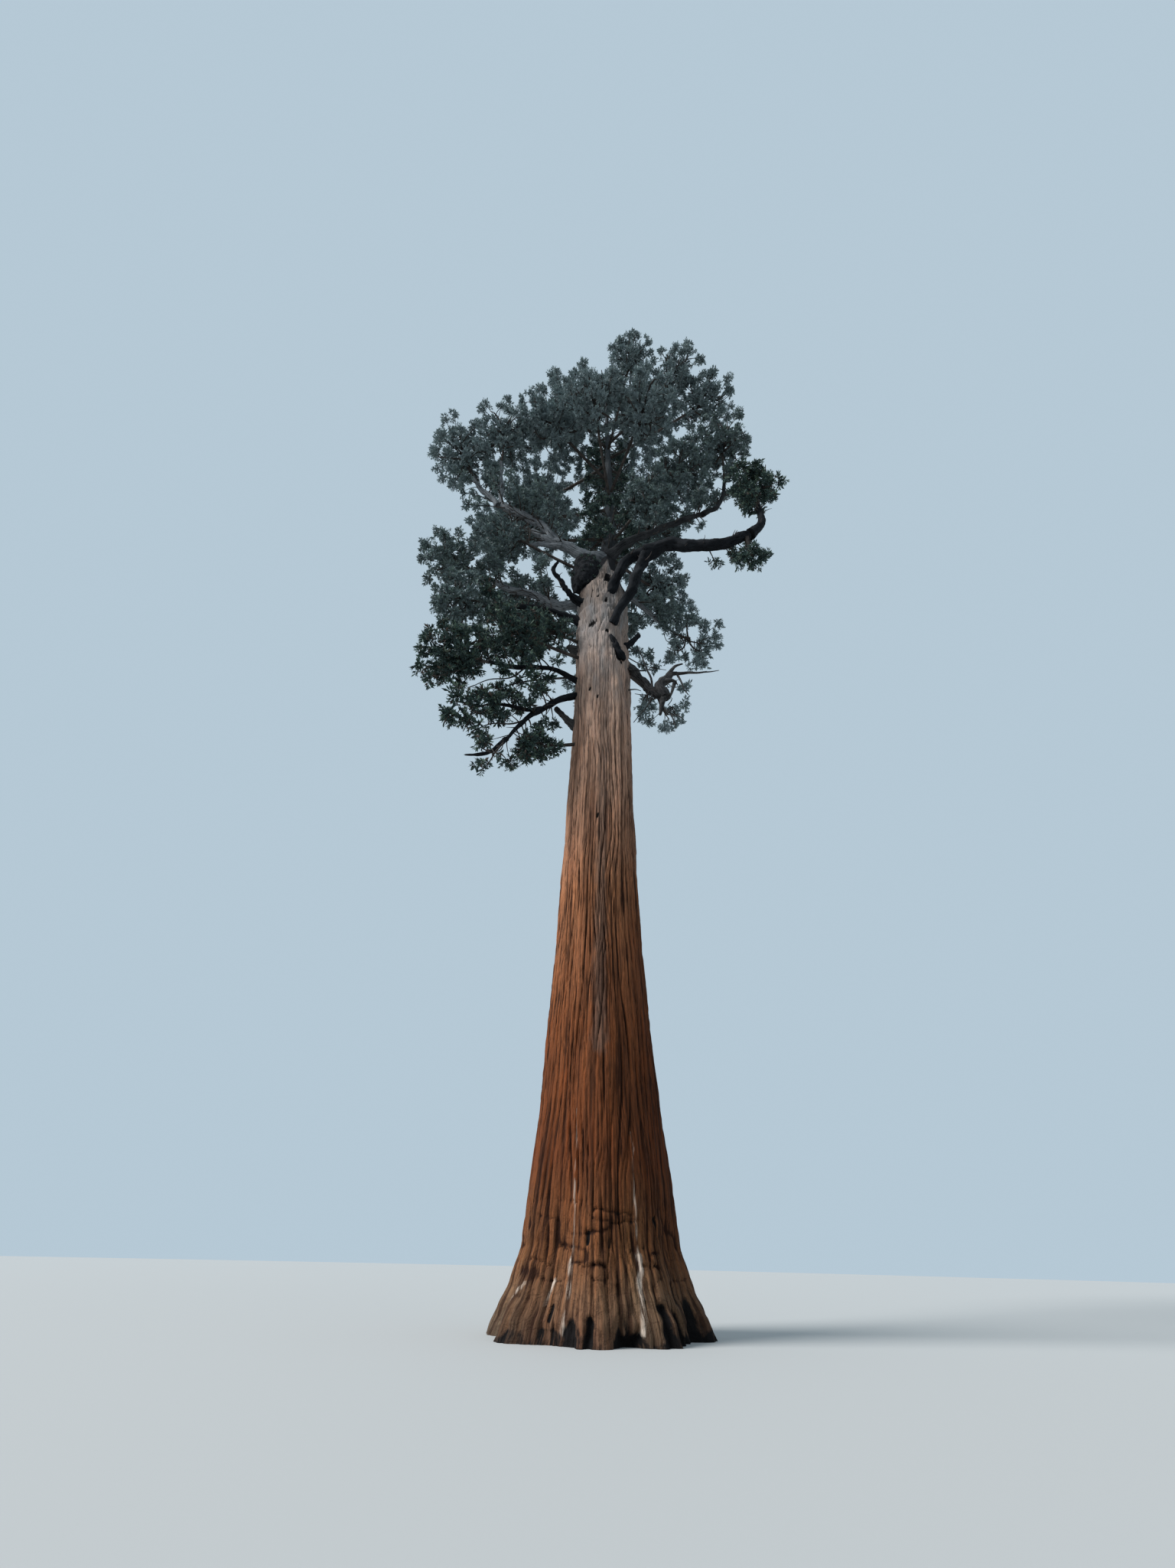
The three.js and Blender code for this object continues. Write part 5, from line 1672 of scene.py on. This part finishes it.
def side_twig(middles, ahead, radii, rng, reach):
    """One bent rod that leaves a limb sideways, somewhere along its outer part."""
    spot = int(len(middles) * rng.uniform(*SIDE_TWIG_SPAN))
    radius = radii[spot]
    outward = unit(np.cross(ahead[spot], unit(rng.normal(0, 1, 3))))
    way = unit(outward + SIDE_TWIG_AHEAD * ahead[spot] + rng.normal(0, SIDE_TWIG_SCATTER, 3))
    length = reach * rng.uniform(*SIDE_TWIG_LENGTHS)
    start = middles[spot] + outward * radius * 0.6
    thick = min(SIDE_TWIG_RADIUS, 0.4 * radius)
    sag = rng.normal(0, SIDE_TWIG_SAG, 3) * length
    return bent_rod(start, start + way * length, thick, SIDE_TWIG_END, sag, 5), length


def grow_side_twigs(group):
    rods = no_rods()
    tufts = []
    rng = np.random.default_rng(77)
    shares = np.linspace(0, 1, SPOTS_ON_BOUGH)
    for name, (leafy, bare, reach) in SIDE_TWIGS[group].items():
        points, radii = ALL_LIMBS[name]
        middles, _ = evenly(smooth_curve(points), SPOTS_ON_BOUGH)
        ahead, _, _ = carried_frames(middles)
        widths = np.interp(shares, np.linspace(0, 1, len(radii)), radii)
        for number in range(leafy + bare):
            own_reach = reach if number < leafy else BARE_TWIG_REACH
            rod, length = side_twig(middles, ahead, widths, rng, own_reach)
            rods[TWIG_SIDES].append(rod)
            places = rod[0]
            if number < leafy:
                tufts += tufts_of_clumps([places[-1]], places[0], rng, rods, SIDE_TUFTS)
            if number < leafy and length > LONG_TWIG:
                tufts += tufts_of_clumps([places[-3]], places[0], rng, rods, SIDE_TUFTS)
    for points in LEAFY_TWIGS[group]:
        places, _ = evenly(smooth_curve(points), LEAFY_TWIG_RINGS)
        rods[BRANCH_SIDES].append((places, np.linspace(*LEAFY_TWIG_RADII, len(places))))
        tufts += tufts_of_clumps(np.array(points[1:]), np.array(points[0]), rng, rods)
    return rods, tufts


# %% Shoots of the leader and the burl
LEADER_CLUMPS = 130
LEADER_CLUMPS_FROM = 39.6
LEADER_CLUMPS_TO = 62
LEADER_CLUMP_REACH = (0.7, 1.75)
LEADER_CLUMP_SCATTER = 0.12
LEADER_SHOOT_LIFT = 0.35
LEADER_SHOOT_RADII = (0.05, 0.018)
LEADER_SHOOT_SAG = 0.05
# Above this height no shoot hangs on the side that faces the eye
BARE_FRONT_FROM = 46.5
FRONT = -0.25
BURL_SHOOTS = 44
BURL_SHOOT_LENGTH = 0.16
BURL_SHOOT_RADII = (0.03, 0.012)
BURL_TUFT_SIZES = (0.45, 0.75)


def grow_leader_shoots():
    """Short shoots all round the leader, each with a clump at its end, and the burl's small tufts."""
    rods = no_rods()
    rng = np.random.default_rng(78)
    heights = np.linspace(LEADER_CLUMPS_FROM, LEADER_CLUMPS_TO, LEADER_CLUMPS)
    turns = np.arange(LEADER_CLUMPS) * GOLDEN_ANGLE
    tufts = []
    for height, turn in zip(heights, turns):
        radius, x, y = trunk_row(height)
        way = np.array([math.cos(turn), math.sin(turn), LEADER_SHOOT_LIFT])
        if height > BARE_FRONT_FROM and way[1] < FRONT:
            continue
        start = np.array([x, y, height]) + way * radius * 0.7
        end = start + way * rng.uniform(*LEADER_CLUMP_REACH) + rng.normal(0, LEADER_CLUMP_SCATTER, 3)
        sag = rng.normal(0, LEADER_SHOOT_SAG, 3)
        rods[TWIG_SIDES].append(bent_rod(start, end, *LEADER_SHOOT_RADII, sag, 5))
        tufts += tufts_of_clumps([end], start, rng, rods, SIDE_TUFTS)
    for way in spread_directions(BURL_SHOOTS, 0.7):
        start = np.array(BURL_MIDDLE) + way * BURL_HALF_SIZE * 0.9
        end = start + way * BURL_SHOOT_LENGTH
        rods[TWIG_SIDES].append(bent_rod(start, end, *BURL_SHOOT_RADII, np.zeros(3), 3))
        tufts.append((end, way, TUFT_RADIUS * rng.uniform(*BURL_TUFT_SIZES)))
    return rods, tufts


# %% [markdown]
# ## Bare dead twigs
#
# The gnarled dead limb on the right ends in claws, a broken spur and wiry twigs, and long bare twigs hang
# below the left boughs. They are so characteristic that each is given by its own few points.

# %% Bare twigs
BARE_TWIG_RINGS = 14
BARE_TWIG_EXTRA = 0.015
BARE_TWIG_TAPER = 0.65
# Radius at the root, then the points along the twig
BARE_TWIGS = [
    (0.05, [(1.3, -0.4, 27.45), (2.03, -0.5, 27.16), (2.56, -0.5, 27.2), (2.87, -0.5, 27.49),
            (3.02, -0.5, 27.28)]),
    (0.06, [(2.76, -0.5, 25.6), (2.72, -0.6, 26.43), (2.54, -0.6, 27.07), (2.33, -0.6, 28.12),
            (2.07, -0.6, 29.22)]),
    (0.04, [(1.3, -0.4, 25.65), (1.9, -0.5, 25.61), (2.15, -0.5, 25.49)]),
    (0.03, [(2.7, -0.5, 25.2), (2.21, -0.6, 25.08), (1.8, -0.6, 25.16)]),
    (0.13, [(3.6, -0.6, 26.6), (3.94, -0.6, 27.17), (4.13, -0.6, 27.43), (4.53, -0.6, 27.62)]),
    (0.10, [(3.9, -0.6, 26.8), (4.38, -0.6, 26.80), (4.8, -0.6, 26.87), (5.31, -0.6, 26.86),
            (5.82, -0.6, 26.96)]),
    (0.035, [(5.6, -0.6, 26.92), (6.0, -0.6, 26.95), (6.51, -0.6, 27.07)]),
    (0.06, [(4.15, -0.6, 26.82), (4.36, -0.6, 26.06), (4.44, -0.6, 25.56), (4.64, -0.6, 25.08)]),
    (0.16, [(3.2, -0.7, 25.65), (3.48, -0.75, 26.03), (3.77, -0.75, 26.07), (3.98, -0.75, 25.98),
            (4.11, -0.75, 25.7)]),
    (0.11, [(3.99, -0.7, 26.04), (3.86, -0.7, 25.57), (3.73, -0.7, 25.09), (3.59, -0.62, 24.75)]),
    (0.19, [(3.33, -0.58, 25.0), (3.21, -0.6, 24.49), (3.14, -0.6, 24.03), (3.05, -0.6, 23.57)]),
    (0.05, [(3.18, -0.6, 24.15), (3.63, -0.7, 23.53), (4.01, -0.7, 23.36), (4.23, -0.7, 23.14)]),
    (0.03, [(3.63, -0.7, 23.55), (3.73, -0.7, 22.81), (3.79, -0.7, 22.49)]),
    (0.04, [(2.75, -0.55, 25.2), (2.39, -0.8, 24.0), (2.01, -0.8, 23.4), (1.65, -0.8, 22.81)]),
    (0.06, [(-1.5, -0.5, 26.6), (-3.86, -1.4, 25.25), (-5.25, -2.0, 23.98)]),
    (0.04, [(-3.6, -1.9, 21.9), (-4.2, -2.3, 21.2), (-5.1, -2.6, 20.9), (-5.9, -2.7, 20.3)]),
    (0.04, [(-3.9, -2.0, 25.7), (-4.6, -2.2, 24.6), (-5.6, -2.5, 24.1), (-6.4, -2.7, 23.3)]),
    (0.04, [(-2.6, -1.2, 26.3), (-3.3, -1.5, 27.0), (-4.4, -1.9, 27.1), (-5.2, -2.1, 26.6)]),
]


def grow_bare_twigs():
    chains = []
    taper = 1 - BARE_TWIG_TAPER * np.linspace(0, 1, BARE_TWIG_RINGS)
    for radius, points in BARE_TWIGS:
        places, _ = evenly(smooth_curve(points), BARE_TWIG_RINGS)
        chains.append((places, (radius + BARE_TWIG_EXTRA) * taper))
    return {BRANCH_SIDES: chains}


print("bare twigs:", len(BARE_TWIGS))

# %% [markdown]
# ## One spray
#
# A giant sequoia has no flat needles. Its twigs are cords clothed in small scales, and they stand in bushy
# sprays. One spray here is a long blade and two shorter ones that leave it on both sides, each a kite of two
# faces folded along its middle. Six faces are enough, because there are over a hundred thousand sprays.

# %% Spray template
# Where a blade leaves the middle, how far it leans out, its turn round the middle, its length and width
BLADES = [
    (0.0, 0, 0, 1.0, 0.27),
    (0.14, 42, 30, 0.68, 0.27),
    (0.30, 38, 190, 0.60, 0.26),
]
WIDEST = 0.55
FOLD = 0.30


def make_spray():
    """Corners and faces of one spray, one metre long, with its root at the origin and its tip on +Z."""
    bm = bmesh.new()
    for root, lean, turn, length, width in BLADES:
        root_corner = bm.verts.new((0, 0, 0))
        tip = bm.verts.new((0, 0, length))
        left = bm.verts.new((-width / 2, FOLD * width, WIDEST * length))
        right = bm.verts.new((width / 2, FOLD * width, WIDEST * length))
        bm.faces.new((root_corner, right, tip))
        bm.faces.new((root_corner, tip, left))
        move = Matrix.Translation((0, 0, root)) @ Matrix.Rotation(math.radians(turn), 4, "Z")
        move = move @ Matrix.Rotation(math.radians(lean), 4, "X")
        bmesh.ops.transform(bm, matrix=move, verts=[root_corner, tip, left, right])
    bm.verts.index_update()
    corners = np.array([vertex.co for vertex in bm.verts])
    faces = np.array([[vertex.index for vertex in face.verts] for face in bm.faces])
    bm.free()
    return corners, faces


SPRAY_CORNERS, SPRAY_FACES = make_spray()
print("one spray has", len(SPRAY_FACES), "faces")

# %% [markdown]
# ## Sprays of a tuft
#
# The sprays of a tuft leave its twig along the last stretch and point outwards and towards the light. Each
# gets one of four base colours: dark deep green, mid green, a light fresh green, and rust where a spray has
# died. The dealing leans on where a spray points: inward ones get more of the deep green, as painted shade,
# and ones that point out and up get more of the light green, as painted light.

# %% Sprays
SPRAYS_PER_TUFT = 11
SPRAY_LENGTH = 1.05
SPRAY_LENGTHS = (0.7, 1.1)
SPRAY_STRETCH = 1.2
SPRAY_OUTWARD = 0.75
SPRAY_SCATTER = 0.25
SPRAY_ROOT_GAP = 0.06


def frames_along(ways, spins):
    """Turning matrices that take +Z to each way, after a spin."""
    helper = np.where(np.abs(ways[:, 2:3]) < STEEP, [[0, 0, 1.0]], [[1.0, 0, 0]])
    first = unit(np.cross(helper, ways))
    second = np.cross(ways, first)
    cos, sin = np.cos(spins)[:, None], np.sin(spins)[:, None]
    return np.stack([first * cos + second * sin, second * cos - first * sin, ways], axis=2)


def sprays_of_tufts(tufts, rng):
    """For all tufts at once: the roots, ways and lengths of their sprays, and how far out each points."""
    ends, headings = [np.array([tuft[part] for tuft in tufts]) for part in (0, 1)]
    sizes = np.array([tuft[2] for tuft in tufts])
    count = SPRAYS_PER_TUFT
    ball = spread_directions(count, 0.0)
    spin = rng.uniform(0, 2 * math.pi, len(tufts))
    turned = np.einsum("tij,sj->tsi", frames_along(headings, spin), ball)
    ways = unit(turned + SPRAY_OUTWARD * headings[:, None] + rng.normal(0, SPRAY_SCATTER, turned.shape))
    roots = ends[:, None] + ways * (sizes * SPRAY_ROOT_GAP)[:, None, None]
    back = rng.random((len(tufts), count, 1))
    roots -= headings[:, None] * (sizes[:, None, None] * SPRAY_STRETCH * back)
    lengths = SPRAY_LENGTH * sizes[:, None] * rng.uniform(*SPRAY_LENGTHS, (len(tufts), count))
    facing = np.einsum("tsi,ti->ts", ways, headings)
    return roots.reshape(-1, 3), ways.reshape(-1, 3), lengths.ravel(), facing.ravel()


# %% Colours of the sprays
COLOUR_NAMES = ("deep", "green", "lit_fresh", "rust")
DEEP, GREEN, LIT_FRESH, RUST = range(len(COLOUR_NAMES))
GREEN_ABOVE = 0.48
LIT_FRESH_ABOVE = 0.95
# How much pointing outwards and pointing up lighten a spray's colour: painted light
OUTWARD_PAINTED_LIGHT = 0.30
UPWARD_PAINTED_LIGHT = 0.22
# How many of a zone's sprays have died, and how many elsewhere
RUST_SHARE = {"dark_left": 0.06, "low_left": 0.08, "left": 0.03, "low_boughs": 0.08}
RUST_ELSEWHERE = 0.01


def deal_colours(zone, facing, tips_up, rng):
    """The colour number of each spray, at random but lighter out and up: painted light and shade."""
    draw = rng.random(len(facing)) + OUTWARD_PAINTED_LIGHT * facing + UPWARD_PAINTED_LIGHT * tips_up
    colours = np.where(draw > LIT_FRESH_ABOVE, LIT_FRESH, np.where(draw > GREEN_ABOVE, GREEN, DEEP))
    rust = rng.random(len(facing)) < RUST_SHARE.get(zone, RUST_ELSEWHERE)
    return np.where(rust, RUST, colours)


# %% [markdown]
# ## Foliage materials
#
# Each colour is a plain base colour with a little mottling, so the sprays of one tuft aren't all alike. The
# leaves are waxy and bluish. Each zone's tone mixes the same four colours paler, towards a pale blue-grey:
# hardly at all in the shaded zones, more in the middle ones and most in the high ones. That paler mix is
# painted light and mist.

# %% Foliage materials
FOLIAGE_COLOURS = {
    "deep": (0.022, 0.042, 0.041),
    "green": (0.048, 0.082, 0.070),
    "lit_fresh": (0.100, 0.145, 0.105),
    "rust": (0.078, 0.054, 0.042),
}
# The pale blue-grey that paints light and mist, and how much of it each tone takes
MIST_AND_LIGHT_COLOUR = (0.30, 0.37, 0.39)
TONES = {"shaded": 0.03, "middle": 0.34, "high": 0.60}
ZONE_TONES = {
    "low_left": "shaded",
    "dark_left": "shaded",
    "arm_foliage": "shaded",
    "low_boughs": "shaded",
    "leader_shoots": "shaded",
    "high_boughs": "middle",
    "left": "middle",
    "front": "high",
    "right": "middle",
    "back": "high",
    "upper_left": "high",
    "crest": "high",
    "top": "high",
    "high_back": "high",
}
MOTTLE = 0.28
LEAF_MOTTLE_CELLS = (9, 9, 9)
TWIG_MOTTLE_CELLS = (7, 7, 7)


def misted_and_lit(colour, share, light):
    mixed = [part + (misty_part - part) * share for part, misty_part in zip(colour, MIST_AND_LIGHT_COLOUR)]
    return (*[part * light for part in mixed], 1)


def make_foliage_material(name, tone):
    share = TONES[tone]
    graph = Graph(f"foliage_{tone}_{name}")
    mottle = graph.noise(graph.object_place(), LEAF_MOTTLE_CELLS, detail=3)
    dark = misted_and_lit(FOLIAGE_COLOURS[name], share, 1 - MOTTLE)
    light = misted_and_lit(FOLIAGE_COLOURS[name], share, 1 + MOTTLE)
    graph.feed(graph.shader, "Base Color", graph.mix(graph.between(mottle, 0.35, 0.65), dark, light))
    graph.feed(graph.shader, "Roughness", graph.between(mottle, 0.3, 0.7, 0.6, 0.8))
    graph.shader.inputs["Specular IOR Level"].default_value = 0.2
    return graph.material


def make_twig_material(name, light, dark):
    graph = Graph(name)
    mottle = graph.noise(graph.object_place(), TWIG_MOTTLE_CELLS, detail=5, roughness=0.65)
    graph.feed(graph.shader, "Base Color", graph.mix(graph.between(mottle, 0.4, 0.62), light, dark))
    graph.shader.inputs["Roughness"].default_value = 0.88
    graph.shader.inputs["Specular IOR Level"].default_value = 0.12
    return graph.material


foliage_materials = {
    (name, tone): make_foliage_material(name, tone) for name in COLOUR_NAMES for tone in TONES
}
twig_material = make_twig_material("twig_bark", (0.066, 0.055, 0.049, 1), (0.026, 0.022, 0.020, 1))
dead_twig_material = make_twig_material("dead_twig", (0.055, 0.052, 0.050, 1), (0.012, 0.012, 0.013, 1))
print("foliage finishes:", len(foliage_materials))

# %% [markdown]
# ## Joined meshes
#
# A hundred thousand sprays as separate objects would choke any program, so the corners of all the sprays of
# one zone and colour are worked out at once as arrays and written into one mesh. The rods are joined the
# same way: rings of corners along each chain, sides between the rings, and a cap on each end.


# %% Joining sprays and rods
def triangle_mesh(name, corners, faces):
    mesh = bpy.data.meshes.new(name)
    mesh.vertices.add(len(corners))
    mesh.loops.add(faces.size)
    mesh.polygons.add(len(faces))
    mesh.vertices.foreach_set("co", (corners * SCALE).astype(np.float32).ravel())
    mesh.loops.foreach_set("vertex_index", faces.astype(np.int32).ravel())
    mesh.polygons.foreach_set("loop_start", np.arange(0, faces.size, 3, dtype=np.int32))
    mesh.update(calc_edges=True)
    mesh.validate()
    return mesh


def sprays_mesh(name, roots, ways, lengths, spins):
    turning = frames_along(ways, spins)
    corners = np.einsum("nij,cj->nci", turning, SPRAY_CORNERS) * lengths[:, None, None] + roots[:, None]
    first = np.arange(len(roots)) * len(SPRAY_CORNERS)
    faces = (SPRAY_FACES[None] + first[:, None, None]).reshape(-1, 3)
    return triangle_mesh(name, corners.reshape(-1, 3), faces)


def rod_faces(rings, sides):
    """The faces of one rod whose rings are numbered in order, with both ends closed."""
    faces = []
    for ring in range(rings - 1):
        for side in range(sides):
            low, low_next = ring * sides + side, ring * sides + (side + 1) % sides
            high, high_next = low + sides, low_next + sides
            faces += [(low, low_next, high_next), (low, high_next, high)]
    top = (rings - 1) * sides
    for side in range(1, sides - 1):
        faces += [(0, side + 1, side), (top, top + side, top + side + 1)]
    return np.array(faces)


def rods_mesh(name, rods):
    """One mesh of all rods, given for each number of sides as chains of places and radii."""
    all_corners, all_faces, total = [], [], 0
    for sides, chains in rods.items():
        for places, radii in chains:
            way = unit(places[-1:] - places[:1])
            turning = frames_along(way, np.zeros(1))[0]
            turn = np.arange(sides) * 2 * math.pi / sides
            circle = np.stack([np.cos(turn), np.sin(turn)], 1) @ turning[:, :2].T
            corners = places[:, None] + circle[None] * radii[:, None, None]
            all_corners.append(corners.reshape(-1, 3))
            all_faces.append(rod_faces(len(places), sides) + total)
            total += corners.shape[0] * sides
    return triangle_mesh(name, np.concatenate(all_corners), np.concatenate(all_faces))


# %% [markdown]
# ## Growing the crown
#
# Zone by zone, every mass is grown, its rods are joined into one piece of twigs, and its sprays are dealt
# into one piece for each colour. Those pieces stand for the zone's plain solids.


# %% Crown
def merge_rods(parts):
    merged = no_rods()
    for part in parts:
        for sides, chains in part.items():
            merged[sides] += chains
    return merged


def dress_zone(zone, rods, tufts, nodes, rng):
    """One piece of twigs and one piece of sprays for each colour, in place of the zone's solids."""
    twigs = rods_mesh(f"{zone}_twigs", rods)
    finished(f"{zone}_twigs", twigs, twig_material, nodes)
    roots, ways, lengths, facing = sprays_of_tufts(tufts, rng)
    colours = deal_colours(zone, facing, ways[:, 2], rng)
    spins = rng.uniform(0, 2 * math.pi, len(roots))
    for number, colour in enumerate(COLOUR_NAMES):
        own = colours == number
        name = f"{zone}_{colour}_sprays"
        mesh = sprays_mesh(name, roots[own], ways[own], lengths[own], spins[own])
        finished(name, mesh, foliage_materials[colour, ZONE_TONES[zone]], nodes)
    return np.array([len(tufts), len(roots), len(twigs.polygons)])


def grow_crown():
    numbers = {name: number for number, name in enumerate(MASSES)}
    totals = np.zeros(3, int)
    for zone, masses in ZONES.items():
        rng = np.random.default_rng(900 + numbers[next(iter(masses))])
        grown = [grow_mass(name, numbers[name]) for name in masses]
        rods = merge_rods([rods for rods, _ in grown])
        tufts = [tuft for _, some in grown for tuft in some]
        nodes = [f"foliage_{name}" for name in masses]
        totals += dress_zone(zone, rods, tufts, nodes, rng)
    others = {group: grow_side_twigs(group) for group in SIDE_TWIGS}
    others["leader_shoots"] = grow_leader_shoots()
    for zone, (rods, tufts) in others.items():
        totals += dress_zone(zone, rods, tufts, [], np.random.default_rng(79))
    bare = rods_mesh("bare_dead_twigs", grow_bare_twigs())
    finished("bare_dead_twigs", bare, dead_twig_material, [])
    print("tufts:", totals[0], "sprays:", totals[1], "twig faces:", totals[2])
    print("spray faces:", totals[1] * len(SPRAY_FACES))


grow_crown()

# %% [markdown]
# ## Sizes
#
# The box of the solids and the box of the dressed tree are printed side by side. The dressed tree has to
# stay inside the box of its solids.

# %% Sizes
dressed_low, dressed_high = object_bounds()
sizes = {
    "cad": [list(cad_low), list(cad_high)],
    "visual": [list(dressed_low), list(dressed_high)],
}
print("solids' box:", [[round(value, 2) for value in corner] for corner in sizes["cad"]])
print("dressed box:", [[round(value, 2) for value in corner] for corner in sizes["visual"]])
